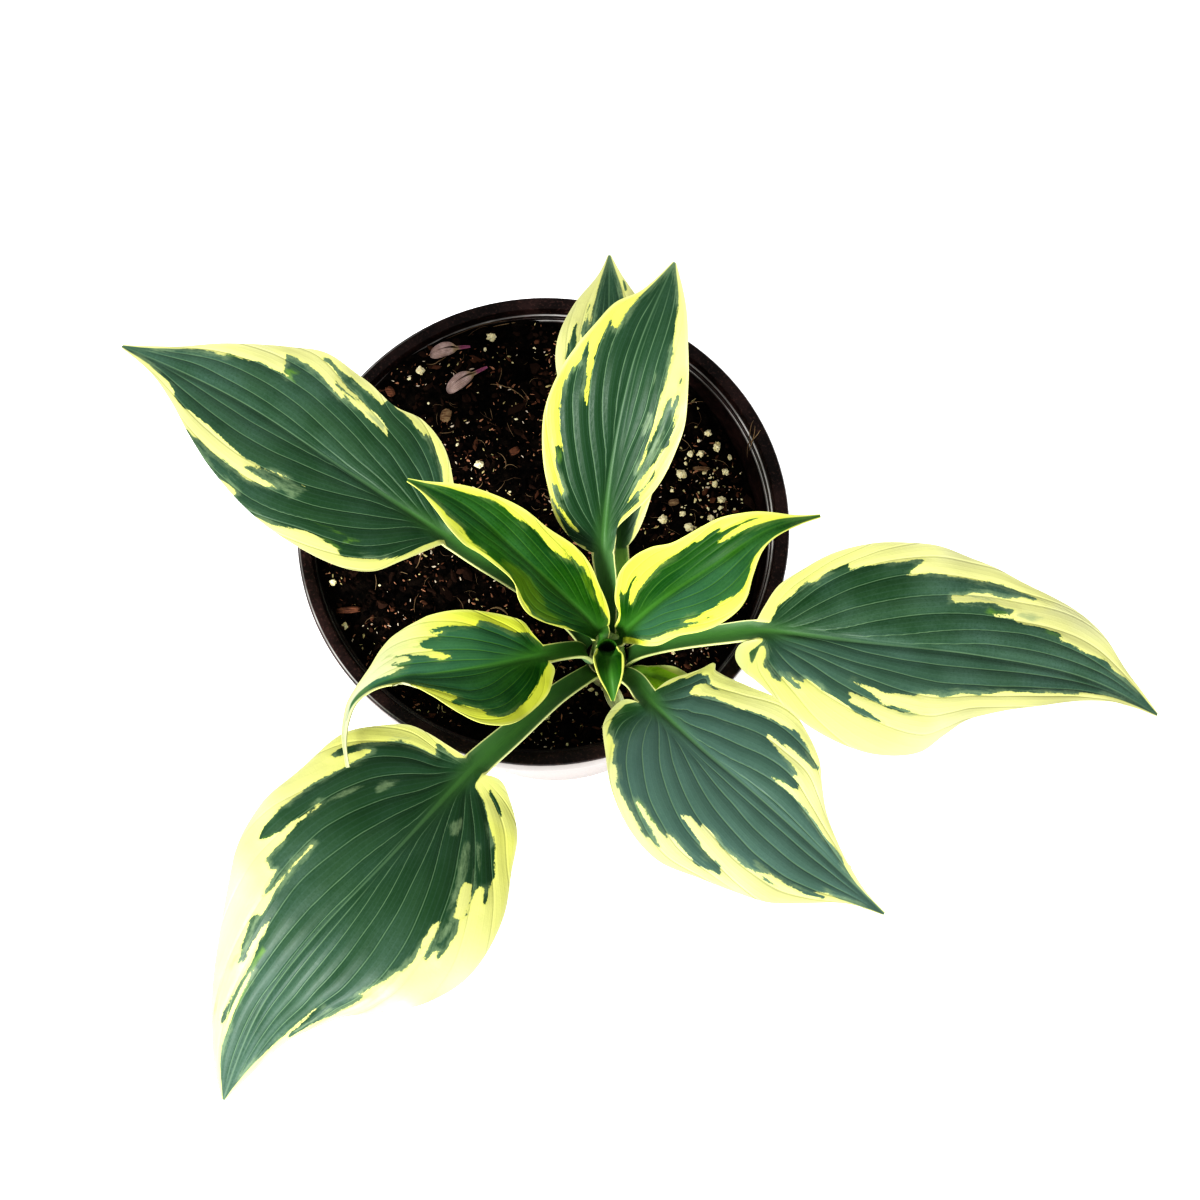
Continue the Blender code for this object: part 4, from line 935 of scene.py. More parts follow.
def leaf_grid(name):
    """Surface points of a leaf in rows from foot to tip, and its markings at each point."""
    shape = LeafShape(name)
    widest = max(off for side in SIDES for _, off in shape.leaf[side])
    columns = max(round(widest / COLUMN_STEP), 10)
    rows = max(round(shape.length / ROW_STEP), 24)
    stalk_rows = max(round(shape.stalk_length / STALK_STEP), 8)
    across = np.linspace(-1.0, 1.0, 2 * columns + 1)
    stalk_along, stalk_off, stalk_points = shape.stalk(stalk_rows, across)

    measured = []
    for side, sign in SIDES.items():
        half = LeafHalf(shape, side, rows, columns)
        vein, gap = half.veins()
        measured.append({
            "point": shape.blade_half(half, sign, side), "off": half.off * sign, "along": half.along,
            "cream": half.cream_depth(), "vein": vein * sign, "gap": gap, "rim": half.to_rim,
            **{kind: half.patches(kind) for kind in PATCH_KINDS},
        })
    right, left = measured
    blade = {key: both_halves(right[key], left[key]) for key in right}

    lengthwise = stalk_off / np.abs(stalk_off[:, :1])
    stalk_rim = np.abs(stalk_off[:, :1]) - np.abs(stalk_off)
    stalk = {
        "point": stalk_points, "off": stalk_off, "along": stalk_along,
        "cream": 0.3 - stalk_rim, "vein": lengthwise * 6.0,
        "gap": np.full_like(stalk_off, 0.5), "rim": stalk_rim,
        **{kind: np.zeros_like(stalk_off) for kind in PATCH_KINDS},
    }
    stalk["lime"] += shape.leaf.get("stalk_painted_light", 0.0)
    grid = {key: np.concatenate([stalk[key], blade[key]]) for key in blade}
    grid["share"] = np.clip(grid["along"] / shape.length, -1.0, 1.0)
    return shape, grid


def add_relief(shape, grid):
    """Raise the ribs between the veins, sink the midrib, and wave the edges."""
    points = grid["point"]
    normals = surface_normals(points)
    onto_blade = smooth_step(grid["share"] / 0.1)
    towards_tip = 1.0 - smooth_step((grid["share"] - 0.72) / 0.28)
    between = np.abs(grid["vein"]) % 1.0
    swell = 1.0 - (2.0 * between - 1.0) ** 2
    rib = RIB_RISE * np.minimum(grid["gap"], 4.5) * (swell - 0.35)
    rib *= onto_blade * (0.35 + 0.65 * towards_tip)
    rib *= smooth_step(grid["rim"] / 2.5) * smooth_step(np.abs(grid["off"]) / 2.5)
    rib *= shape.leaf.get("relief", 1.0) * (1.0 - 0.65 * smooth_step(grid["cream"] / 3.0))
    groove_depth = GROOVE_DEPTH * (1.0 - 0.7 * np.clip(grid["share"], 0.0, 1.0)) * onto_blade
    groove = -groove_depth * np.exp(-(grid["off"] / 0.9) ** 2)
    width = np.maximum(grid["rim"] + np.abs(grid["off"]), 1.0)
    outer = (np.abs(grid["off"]) / width) ** 3
    phase = 0.7 * len(shape.name) + 1.3 * np.sign(grid["off"])
    wave = EDGE_WAVE * outer * np.sin(grid["along"] / 4.3 + phase + 0.8 * np.sin(grid["along"] / 9.0))
    wave *= onto_blade * np.minimum(width / 14.0, 1.0)
    grid["point"] = points + (rib + groove + wave)[..., None] * normals


def leaf_thickness(shape, grid):
    """Thickness in millimetres: a thick stalk and midrib, thin towards the edge."""
    share = np.clip(grid["share"], 0.0, 1.0)
    blade = BLADE_EDGE + BLADE_SWELL * smooth_step(grid["rim"] / 4.0)
    back_rib = BACK_RIB * (1.0 - share) ** 1.3 * np.exp(-(grid["off"] / 1.25) ** 2)
    half_width = np.maximum(grid["rim"] + np.abs(grid["off"]), 0.5)
    round_stalk = 0.35 + 2.0 * np.sqrt(np.clip(1.0 - (grid["off"] / half_width) ** 2, 0.0, 1.0))
    round_stalk = np.minimum(round_stalk, shape.leaf.get("stalk_depth", STALK_DEPTH))
    onto_blade = smooth_step(grid["along"] / 9.0)
    return round_stalk * (1.0 - onto_blade) + (blade + back_rib) * onto_blade


def paint_shade_and_sheen(shape, grid):
    """Painted shade, where the green deepens, and painted sheen, where it turns bluer: from neck to tip, on
    each half.
    """
    left_neck, left_tip, right_neck, right_tip = shape.leaf.get("shade", (0, 0, 0, 0))
    onto_left = smooth_step(0.5 + grid["off"] / 6.0)
    at_neck = right_neck + (left_neck - right_neck) * onto_left
    at_tip = right_tip + (left_tip - right_tip) * onto_left
    shade = at_neck + (at_tip - at_neck) * smooth_step(grid["share"])
    return shade * smooth_step(grid["along"] / 12.0)


def make_leaf(name, top_finish, under_finish, slot):
    """Shape a grid into a leaf, mark it and give it its thickness."""
    shape, grid = leaf_grid(name)
    add_relief(shape, grid)
    grid["shade"] = paint_shade_and_sheen(shape, grid)
    grid["vein"] = grid["vein"] + VEIN_SHIFT * (1 + list(LEAVES).index(name))
    rows, columns = (size - 1 for size in grid["off"].shape)
    piece = grow_grid(f"hosta_{name}", columns, rows, top_finish, under_finish)
    mesh = piece.data
    places = places_of(mesh)
    column = np.rint((1.0 - places[:, 0]) / 2 * columns).astype(int)
    row = np.rint((1.0 + places[:, 1]) / 2 * rows).astype(int)
    put_places(mesh, grid["point"][row, column] * MM)
    for key in ("cream", "vein", "gap", "rim", "shade", *PATCH_KINDS):
        put_attribute(mesh, key, grid[key][row, column])
    put_map(mesh, np.stack([grid["along"], grid["off"]], axis=-1)[row, column] / MAP_SCALE)
    thickness = leaf_thickness(shape, grid)
    thickest = float(thickness.max())
    group = piece.vertex_groups.new(name="thickness")
    for index, share in enumerate(thickness[row, column] / thickest):
        group.add([index], float(share), "REPLACE")
    apply_modifier(piece, "SOLIDIFY", thickness=thickest * MM, offset=-1.0, vertex_group="thickness",
                   thickness_vertex_group=0.0, material_offset=1)
    piece.vertex_groups.clear()
    hand_over(piece, slot, name, smooth=60)


# Leaf finishes

def leaf_finish(name, deep, fresh, bloom_and_sheen, rib, stem, pale, lime, yellow, cream, white,
                roughness=0.42, shine=0.22):
    """Green strips between pale veins, a streaked cream margin and soft patches, with painted shade beside
    the veins and painted shade and sheen on each leaf.
    """
    finish = Finish(name, Specular_IOR_Level=shine)
    along, off = (part * MAP_SCALE for part in finish.flat_map())
    vein, gap, rim, depth, shade = (finish.attribute(key) for key in ("vein", "gap", "rim", "cream", "shade"))
    strip = vein.math("FLOOR")
    strip_tone = finish.noise(finish.vector(strip * 3.7, along / 22.0, 0.5), 1.0, 2.0, 0.5).ramp(0.34, 0.66)
    streaks = finish.noise(finish.vector(vein * 3.4, along / 7.0), 1.0, 5.0, 0.65)
    grain = finish.noise(finish.vector(off, along, strip), 1.1, 5.0, 0.65)
    specks = finish.noise(finish.vector(off * 1.3, along * 0.8, 9.0), 1.9, 3.0, 0.72)
    cloud = finish.noise(finish.vector(off / 16.0, along / 24.0), 1.0, 2.0, 0.5)
    uneven = streaks - 0.5

    to_vein = abs(vein - vein.math("ROUND")) * gap
    reach = (along * along + off * off) ** 0.5
    clear = gap.ramp(0.9, 2.9) * reach.ramp(3.0, 15.0)
    line = (1 - to_vein.ramp(0.04, 0.26)) * clear
    # Painted shade: the green darkens in a band beside each vein, as if in the creases where the veins sink.
    painted_vein_shade = (1 - to_vein.ramp(0.1, 1.3)) * clear
    fine_lines = (1 - abs((vein * 4.0).math("FRACT") - 0.5).ramp(0.0, 0.2)) * gap.ramp(1.2, 2.6)
    near = 1 - along.ramp(0.0, 55.0)
    midrib = 1 - abs(off).ramp(near * 0.3 + 0.1, near * 0.75 + 0.4)
    heart = (1 - abs(off).ramp(0.8, 4.5)) * (1 - along.ramp(0.0, 28.0))
    stalk = 1 - along.ramp(-8.0, 5.0)
    foot = (1 - along.ramp(-70.0, -25.0)) * cloud.ramp(0.42, 0.5)
    halo = (depth + uneven * 5.0).ramp(-1.8, -0.3) * cloud.ramp(0.44, 0.54) * 0.8
    pale_mask = (finish.attribute("pale") + uneven * 2.2).ramp(0.5, 1.2).most(halo)
    lime_mask = (finish.attribute("lime") + uneven * 1.6).ramp(0.3, 1.1)
    faint_mask = (finish.attribute("faint") + uneven * 1.6).ramp(0.4, 1.0)

    fresh_share = strip_tone * 0.55 + (grain - 0.5) * 0.7 + (along / 160.0).least(0.35) + uneven * 0.5
    green = finish.layers(
        deep,
        # fresher green, but less of it beside the veins: painted shade in their creases
        (fresh_share - painted_vein_shade * 0.3, fresh),
        # bluer patches that grow towards the tip: partly the leaf's waxy bloom, partly painted sheen where
        # the tip turns to the light
        ((cloud - 0.45 + along / 260.0).ramp(0.0, 0.55) * (0.1 + 0.6 * grain), bloom_and_sheen),
        (specks.ramp(0.58, 0.68) * 0.6, deep),
        # painted shade and sheen: the shade value deepens the green, or if negative turns it bluer
        (shade, deep),
        (shade * -1.0, bloom_and_sheen),
        (fine_lines * 0.1, bloom_and_sheen),
        (pale_mask * (0.2 + 0.7 * grain), pale),
        (lime_mask * 0.6, lime),
        (line * (0.32 + 0.6 * streaks), rib),
        (midrib * (0.3 + 0.35 * near), finish.mix(near, rib, stem)),
        (heart * 0.5, stem),
        (stalk * 0.8, finish.mix(streaks.ramp(0.35, 0.75) * 0.4, stem, deep)),
        # a lime-marked stalk shows a yellow-green well above its own colour: painted light over the shade it
        # lies in
        (stalk * lime_mask * 0.9, (190, 262, 110)),
        (foot * 0.55, deep))

    ragged = depth + (uneven * 2.8 + (grain - 0.5)) * rim.ramp(0.3, 2.5) * gap.ramp(0.0, 3.5)
    margin = finish.layers(
        cream,
        (depth.ramp(2.0, 9.0) * along.ramp(15.0, 60.0), white),
        ((1 - (along - cloud * 30.0).ramp(-10.0, 32.0)) * 0.7, yellow),
        ((1 - ragged.ramp(0.1, 0.9)) * 0.45, yellow),
        # painted shade: a high shade value turns the margin a deeper yellow; a strongly negative one whitens
        # it
        (shade.ramp(0.45, 0.9), (266, 270, 88)),
        ((shade * -1.0).ramp(0.4, 0.9), (262, 268, 232)),
        (line * 0.05 + (streaks - 0.48).most(0.0) * 0.3, pale),
        (faint_mask * 0.6, pale),
        ((1 - rim.ramp(0.1, 1.2)) * 0.5, white),
        (1 - along.ramp(-10.0, 3.0), (248, 258, 160)))
    return finish.settle(
        finish.mix(ragged.ramp(-0.15, 0.2), green, margin),
        roughness + (grain - 0.5) * 0.22 + uneven * 0.12,
        to_vein.ramp(0.0, 0.45) * clear + grain * 0.4 + specks * 0.2 + fine_lines * 0.15, 0.4, 0.25)


grown_top = leaf_finish(
    "leaf_blue_green", deep=(22, 62, 26), fresh=(60, 98, 62), bloom_and_sheen=(94, 130, 120),
    rib=(124, 164, 116), stem=(72, 128, 52), pale=(160, 190, 134), lime=(126, 184, 52),
    yellow=(272, 276, 132), cream=(274, 274, 168), white=(272, 272, 190))
young_top = leaf_finish(
    "leaf_fresh_green", deep=(6, 62, 1), fresh=(46, 106, 6), bloom_and_sheen=(74, 128, 98),
    rib=(78, 134, 40), stem=(70, 134, 44), pale=(132, 160, 84), lime=(110, 150, 14),
    yellow=(252, 264, 60), cream=(272, 280, 100), white=(280, 284, 160), shine=0.1)
# The low leaf's own yellow-green, lifted well above its true brightness: painted light against the shade it
# lies in under the other leaves.
pale_young_top = leaf_finish(
    "leaf_yellow_green", deep=(200, 275, 18), fresh=(285, 345, 78), bloom_and_sheen=(275, 322, 134),
    rib=(190, 222, 110), stem=(120, 178, 60), pale=(190, 210, 116), lime=(160, 200, 56),
    yellow=(252, 264, 116), cream=(270, 274, 156), white=(276, 280, 194))
grown_under = leaf_finish(
    "leaf_underside", deep=(84, 124, 92), fresh=(108, 146, 110), bloom_and_sheen=(128, 158, 130),
    rib=(168, 192, 146), stem=(112, 156, 98), pale=(166, 188, 154), lime=(152, 186, 96),
    yellow=(236, 240, 130), cream=(244, 246, 170), white=(250, 250, 200), roughness=0.55)


def sheath_finish():
    """Papery pale green with lengthwise lines, browning at its edges."""
    finish = Finish("sheath_pale_green", Specular_IOR_Level=0.3)
    along, off = (part * MAP_SCALE for part in finish.flat_map())
    lines = finish.noise(finish.vector(off * 2.6, along / 8.0), 1.0, 4.0, 0.6)
    olive = (1 - abs(off - 0.8).ramp(0.3, 1.4)) * along.ramp(-4.0, 6.0)
    brown = (1 - finish.attribute("rim").ramp(0.1, 0.7)) * lines.ramp(0.4, 0.6)
    colour = finish.layers(
        (226, 228, 172),
        (lines.ramp(0.35, 0.7), (176, 190, 112)),
        (olive * 0.75, (120, 132, 52)),
        (brown * 0.6, (168, 134, 92)))
    return finish.settle(colour, 0.5 + (lines - 0.5) * 0.3, lines, 0.4, 0.2)


def upright_lines(finish, middle, turns, rise):
    """Fine lines up a round piece whose middle is given, and the height in metres."""
    x, y, z = finish.parts(finish.place())
    turn = (y - middle[1] * MM).math("ARCTAN2", x - middle[0] * MM)
    return finish.noise(finish.vector(turn * turns, z * rise), 1.0, 4.0, 0.6), z


def shoot_finish():
    """Pale leaf bases: ivory low down, green above, with fine lengthwise lines."""
    finish = Finish("shoot_pale_green", Specular_IOR_Level=0.4)
    lines, z = upright_lines(finish, SHOOT_MIDDLE, 9.0, 60.0)
    patches = finish.noise(finish.place(), 160.0)
    colour = finish.layers(
        (282, 284, 196),
        (z.ramp(0.150, 0.176), (176, 214, 104)),
        (lines.ramp(0.4, 0.7) * 0.5, (150, 176, 106)),
        (patches.ramp(0.58, 0.72) * 0.35, (176, 120, 96)))
    return finish.settle(colour, 0.42 + (lines - 0.5) * 0.3, lines, 0.4, 0.3)


def rolled_finish():
    """Green of a tightly rolled leaf, with fine lines up its length and a pale lip."""
    finish = Finish("rolled_leaf_green", Specular_IOR_Level=0.22)
    lines, _ = upright_lines(finish, ROLL_MIDDLE, 6.0, 80.0)
    patches = finish.noise(finish.place(), 200.0)
    colour = finish.layers(
        (20, 76, 6),
        (lines.ramp(0.35, 0.65), (60, 118, 24)),
        (patches.ramp(0.5, 0.7) * 0.4, (96, 142, 60)))
    return finish.settle(colour, 0.45 + (lines - 0.5) * 0.3, lines, 0.4, 0.2)


# Pot and soil finishes

def pot_inside_finish():
    """Satin black plastic, dusty, with fine scuffs and specks of soil, and painted highlights along the
    ledges at the back and on the rim's outer left edge.
    """
    finish = Finish("pot_black_satin", Specular_IOR_Level=0.22)
    place = finish.place()
    x, y, z = finish.parts(place)
    dust = finish.noise(place, 75.0, 5.0, 0.65)
    specks = finish.noise(place, 900.0, 3.0, 0.7)
    scuffs = finish.noise(place, 260.0, 5.0, 0.7, 1.5)
    highlight_breakup = 0.3 + 0.7 * finish.noise(place, 34.0, 3.0, 0.6).ramp(0.38, 0.6)
    highlight_towards_back = 0.1 + 0.9 * (x * 0.6 + y * 0.6).ramp(-0.02, 0.05)
    # Painted highlights: pale lines at the moulded ledges' heights, strongest towards the back wall, broken
    # up by noise.
    upper, middle, lower = (
        1 - abs(z - ledge * MM).ramp(0.0, width * MM)
        for ledge, width in ((UPPER_LEDGE, 0.22), (MIDDLE_LEDGE, 0.2), (LOWER_LEDGE, 0.22)))
    ledges = upper.most(lower).most(middle * 0.5)
    radius = (x * x + y * y) ** 0.5
    # Painted highlight: a thin pale line on the rim's outer edge, on the left side only.
    left_rim_highlight = (1 - abs(radius - 0.0816).ramp(0.0, 0.0004)) * (x * -1.0).ramp(0.03, 0.07)
    colour = finish.layers(
        (14, 6, 5),
        (dust.ramp(0.4, 0.7), (48, 27, 25)),
        (specks.ramp(0.52, 0.66) * 0.5, (88, 54, 48)),
        (scuffs.ramp(0.62, 0.78) * 0.3, (70, 62, 58)),
        # painted highlights on the ledges
        (ledges * highlight_breakup * highlight_towards_back, (300, 294, 290)),
        (left_rim_highlight * highlight_breakup, (250, 246, 240)))
    roughness = 0.36 + (dust - 0.5) * 0.5 + specks.ramp(0.6, 0.75) * 0.3
    return finish.settle(colour, roughness, specks + scuffs, 0.25, 0.15)


def pot_outside_finish():
    """Off-white thin plastic with a faint warm cast, handling marks, soil stains low down and painted shade
    darkening it towards the floor.
    """
    finish = Finish("pot_off_white", Specular_IOR_Level=0.45)
    place = finish.place()
    x, y, z = finish.parts(place)
    blotch = finish.noise(place, 22.0, 4.0, 0.6)
    scuffs = finish.noise(finish.vector(x * 3.0, y * 3.0, z), 130.0, 5.0, 0.7, 2.0)
    grain = finish.noise(place, 1300.0, 2.0, 0.6)
    stain = (1 - z.ramp(0.0, 0.03)) * blotch.ramp(0.4, 0.62)
    colour = finish.layers(
        (176, 162, 157),
        (blotch.ramp(0.35, 0.7), (160, 146, 141)),
        (scuffs.ramp(0.64, 0.8) * 0.35, (136, 126, 120)),
        # painted shade: darker towards the floor over the lowest 120 mm
        ((1 - z.ramp(0.0, 0.12)) * 0.75, (122, 104, 96)),
        (stain * 0.3, (104, 86, 72)))
    roughness = 0.38 + (grain - 0.5) * 0.2 + scuffs.ramp(0.6, 0.8) * 0.2
    return finish.settle(colour, roughness, grain + scuffs * 0.5, 0.15, 0.1)


def soil_finish():
    """Damp peaty mix: near-black, with brown fibrous flecks."""
    dark = (1, 1, 1)
    finish = Finish("soil_mix_dark", Specular_IOR_Level=0.04)
    place = finish.place()
    lumps = finish.noise(place, 260.0, 5.0, 0.7)
    flecks = finish.noise(place, 1100.0, 4.0, 0.75, 1.0)
    patch = finish.noise(place, 55.0)
    colour = finish.layers(
        dark,
        (lumps.ramp(0.38, 0.68), (26, 18, 13)),
        (flecks.ramp(0.56, 0.74) * 0.6, (90, 64, 46)),
        (patch.ramp(0.45, 0.65) * 0.3, dark))
    return finish.settle(colour, 0.85 + (lumps - 0.5) * 0.3, lumps + flecks * 0.7, 0.8, 0.8)


def crumb_finish():
    """Crumbs of peat and bark fines, each its own tone: browns up to 1, then pale flecks."""
    finish = Finish("soil_crumbs", Specular_IOR_Level=0.04)
    tone = finish.attribute("tone")
    flecks = finish.noise(finish.place(), 1400.0, 4.0, 0.75)
    colour = finish.layers(
        (2, 1, 1),
        (tone.ramp(0.3, 0.9), (42, 25, 18)),
        (tone.ramp(0.9, 1.0), (112, 66, 46)),
        (tone.ramp(1.1, 1.3), (236, 160, 120)),
        (tone.ramp(1.35, 1.5), (262, 236, 160)),
        (tone.ramp(1.6, 2.0), (300, 272, 244)),
        (flecks.ramp(0.56, 0.78) * 0.35, (96, 70, 50)))
    return finish.settle(colour, 0.8 + (flecks - 0.5) * 0.3, flecks, 0.7, 0.4)


def grain_finish():
    """Expanded mineral: creamy white, pitted, darker tan in its pits, with specks of soil dust."""
    finish = Finish("perlite_cream_white", Specular_IOR_Level=0.25)
    place = finish.place()
    pits = finish.cells(place, 1500.0)
    dust = finish.noise(place, 700.0, 4.0, 0.65)
    colour = finish.layers(
        (370, 350, 284),
        (dust.ramp(0.42, 0.66), (330, 300, 208)),
        ((1 - pits.ramp(0.05, 0.35)) * 0.4, (196, 172, 110)),
        (dust.ramp(0.64, 0.8) * 0.6, (126, 98, 70)))
    return finish.settle(colour, 0.85 + (dust - 0.5) * 0.2, pits.ramp(0.0, 0.4) + dust * 0.5, 0.7, 0.3)


def bark_finish(name, dark, light):
    """Fibrous bark, with its lines mostly along x."""
    finish = Finish(name, Specular_IOR_Level=0.25)
    x, y, z = finish.parts(finish.place())
    grain = finish.noise(finish.vector(x * 0.25, y, z), 1500.0, 4.0, 0.65)
    patch = finish.noise(finish.place(), 400.0)
    colour = finish.layers(
        dark,
        (grain.ramp(0.35, 0.68), light),
        (patch.ramp(0.55, 0.75) * 0.5, dark))
    return finish.settle(colour, 0.75 + (grain - 0.5) * 0.3, grain, 0.8, 0.4)


def fibre_finish():
    """Tan to brown strands, each its own tone."""
    finish = Finish("fibre_tan", Specular_IOR_Level=0.3)
    grain = finish.noise(finish.place(), 1200.0)
    colour = finish.layers(
        (74, 48, 32),
        (finish.attribute("tone").ramp(0.0, 0.9), (176, 140, 98)),
        (grain.ramp(0.45, 0.7) * 0.4, (110, 78, 52)))
    return finish.settle(colour, 0.6 + grain * 0.2)


def bract_finish():
    """Dry papery bract: mauve-grey, veined lengthwise, magenta at its tip."""
    finish = Finish("bract_dry_mauve", Specular_IOR_Level=0.35)
    along, around = finish.flat_map()
    lines = abs((around * 26.0).math("FRACT") - 0.5)
    blotch = finish.noise(finish.place(), 420.0, 4.0, 0.6)
    colour = finish.layers(
        (226, 182, 170),
        (blotch.ramp(0.35, 0.68), (292, 248, 240)),
        ((1 - lines.ramp(0.08, 0.24)) * 0.45, (140, 102, 98)),
        (along.ramp(0.5, 0.62) * 0.6, (226, 190, 120)),
        (along.ramp(0.68, 0.8) * 0.9, (226, 104, 170)),
        ((1 - along.ramp(0.02, 0.12)) * 0.5, (84, 62, 56)))
    return finish.settle(colour, 0.5 + (blotch - 0.5) * 0.35, lines + blotch * 0.5, 0.5, 0.2)


# Pot

BASE_RADIUS = 61.0
NECK_RADIUS = 77.6         # of the wall under the lip
RIM_RADIUS = 82.5
POT_HEIGHT = 160.0
LIP_BOTTOM = 146.0
WALL = 1.8
FLOOR = 2.0
UPPER_LEDGE = 156.4        # the moulded ledges inside the rim
MIDDLE_LEDGE = 155.0
LOWER_LEDGE = 153.6
INNER_RADIUS = 77.5        # inside edge of the rim
POT_SIDES = 128
DRAIN_HOLES = 6
DRAIN_RADIUS = 4.5
DRAIN_REACH = 48.0         # from the pot's middle to the middle of a drain hole


def wall_radius(height):
    """Outside radius of the tapered wall."""
    return BASE_RADIUS + (NECK_RADIUS - BASE_RADIUS) * height / LIP_BOTTOM


def wall_step(height):
    """A small moulded step in the wall."""
    radius = wall_radius(height)
    return [(radius - 0.25, height - 0.9), (radius - 0.05, height - 0.3), (radius + 0.05, height + 0.6)]


def wall_rings(heights, inwards=0.0):
    """Rings that follow the wall, or lie so far inside it."""
    return [(wall_radius(height) - inwards, height) for height in heights]


def ring_steps(radius, height, steps):
    """Rings given by how much wider and higher each is than a known one."""
    return [(radius + wider, height + higher) for wider, higher in steps]


def make_pot(inside, outside):
    """The pot's wall, lip and floor: up the outside, over the rim and down the inside."""
    outer = [
        *ring_steps(BASE_RADIUS, 0.0, [(-9, 1.2), (-6.5, 1), (-5.2, 0.1), (-4.4, 0), (-2, 0), (-0.7, 0.4)]),
        (wall_radius(1.2), 1.6), (wall_radius(10), 10), *wall_step(13),
        *wall_rings((30, 50, 70, 90)), *wall_step(112), (wall_radius(128), 128),
        *ring_steps(NECK_RADIUS, LIP_BOTTOM, [(-0.1, -1.4), (0.5, -0.5)]),
        *ring_steps(RIM_RADIUS, LIP_BOTTOM, [(-1.5, -0.3), (-0.8, 0), (-0.45, 0.7), (-0.3, 3)]),
        *ring_steps(RIM_RADIUS, POT_HEIGHT, [(0, -1.6), (-0.12, -0.75), (-0.5, -0.2), (-1.1, 0)])]
    inner = [
        *ring_steps(INNER_RADIUS, POT_HEIGHT, [
            (1.1, 0), (0.5, -0.2), (0.3, -0.8), (0.2, -3.1), (-0.05, -3.5), (-0.5, -3.6),
            (-0.75, -4), (-0.8, -6.1), (-1.1, -6.5), (-1.6, -6.6)]),
        (wall_radius(150) - WALL, 152.4), *wall_rings((148, 120, 80, 40, 6), WALL),
        (wall_radius(3) - WALL - 0.6, 3.2), (wall_radius(2) - WALL - 2.0, FLOOR), (30, FLOOR)]
    grow_rings(outer + inner, POT_SIDES)
    pot = name_piece("nursery_pot", inside, outside)
    for polygon in pot.data.polygons:
        x, y, z = polygon.center / MM
        facing = (polygon.normal.x * x + polygon.normal.y * y) / max(math.hypot(x, y), 1.0)
        if z < POT_HEIGHT - 0.5 and (facing > 0.2 or z < 1.6 or LIP_BOTTOM - 2 < z < LIP_BOTTOM):
            polygon.material_index = 1
    for number in range(DRAIN_HOLES):
        angle = math.tau * (number + 0.5) / DRAIN_HOLES
        drill_hole(pot, DRAIN_REACH * math.cos(angle), DRAIN_REACH * math.sin(angle))
    hand_over(pot, "pot_plastic", "pot", smooth=35)


def drill_hole(pot, x, y):
    """Cut one drain hole through the floor."""
    start_fresh()
    bpy.ops.mesh.primitive_cylinder_add(vertices=32, radius=DRAIN_RADIUS * MM, depth=8 * MM,
                                        location=(x * MM, y * MM, 1 * MM))
    drill = bpy.context.object
    apply_modifier(pot, "BOOLEAN", operation="DIFFERENCE", solver="EXACT", object=drill)
    bpy.data.objects.remove(drill, do_unlink=True)


# Soil and what lies on it

SOIL_MARGIN = 2.15         # between the outside of the wall and the soil
SOIL_GRID = 150
CRUMBS = 4600
FLECKS = 2600
CRUMB_REACH = 76.0         # how far from the pot's middle they lie at most
GRAIN_DRIFT = 70           # tiny grains in the drift on the right
LOOSE_GRAINS = 60          # and all over the soil
GRAIN_REACH = 74.0
SHORT_FIBRES = 240
FIBRE_REACH = 68.0
RIM_FIBRE = 0.4            # thickness of a strand on the rim
FIBRE_LIFT = 0.3           # how far the middle of a long fibre rises
SEEDS = {"crumbs": 21, "grains": 7, "bark": 5, "fibres": 33}


def soil_level(x, y):
    """Height of the soil at x, y, without its crumbs."""
    mounds = 0.5 * np.sin(0.13 * x + 0.7) * np.cos(0.11 * y) + 0.4 * np.sin(0.21 * (x + y))
    return 147.5 + 0.075 * y - 0.115 * x - 0.0008 * np.maximum(x, 0.0) ** 2 + mounds


def noise_at(x, y, z):
    """Smooth noise, from about -1 to 1."""
    return noise.noise(Vector((x, y, z)))


def soil_lumps(x, y):
    """Small uneven rises and hollows of the surface."""
    layers = ((0.9, 0.16, 3.0), (0.75, 0.45, 7.0), (0.35, 1.1, 11.0))
    return sum(height * noise_at(x * fineness, y * fineness, seed) for height, fineness, seed in layers)


def surface(x, y):
    """Height of the soil's uneven surface."""
    return float(soil_level(x, y)) + soil_lumps(x, y)


def make_soil(finish):
    """The mix: an uneven round top on a body that fills the pot."""
    soil = grow_grid("potting_mix", SOIL_GRID, SOIL_GRID, finish)
    places = places_of(soil.data)
    x, y = places[:, 0].copy(), places[:, 1].copy()
    round_x, round_y = x * np.sqrt(1 - y * y / 2), y * np.sqrt(1 - x * x / 2)
    level = np.full(len(x), 147.0)
    for _ in range(4):
        radius = wall_radius(level) - SOIL_MARGIN
        level = soil_level(round_x * radius, round_y * radius)
    places[:, 0], places[:, 1] = round_x * radius, round_y * radius
    lumps = np.array([soil_lumps(px, py) for px, py in places[:, :2]])
    inwards = smooth_step((1.0 - np.hypot(round_x, round_y)) / 0.03)
    places[:, 2] = level + lumps * (0.3 + 0.7 * inwards)
    put_places(soil.data, places * MM)
    with editing():
        bpy.ops.mesh.select_all(action="DESELECT")
        bpy.ops.mesh.select_mode(type="EDGE")
        bpy.ops.mesh.select_non_manifold(extend=False)
        bpy.ops.mesh.extrude_region_move()
    bottom = FLOOR + 0.35
    bottom_radius = wall_radius(bottom) - SOIL_MARGIN - 1.2
    for vertex in soil.data.vertices:
        if vertex.select:
            flat = Vector((vertex.co.x, vertex.co.y, 0)).normalized() * bottom_radius
            vertex.co = Vector((flat.x, flat.y, bottom)) * MM
    with editing():
        bpy.ops.mesh.edge_face_add()
        face_outwards()
    hand_over(soil, "soil_mix", "soil", smooth=50)


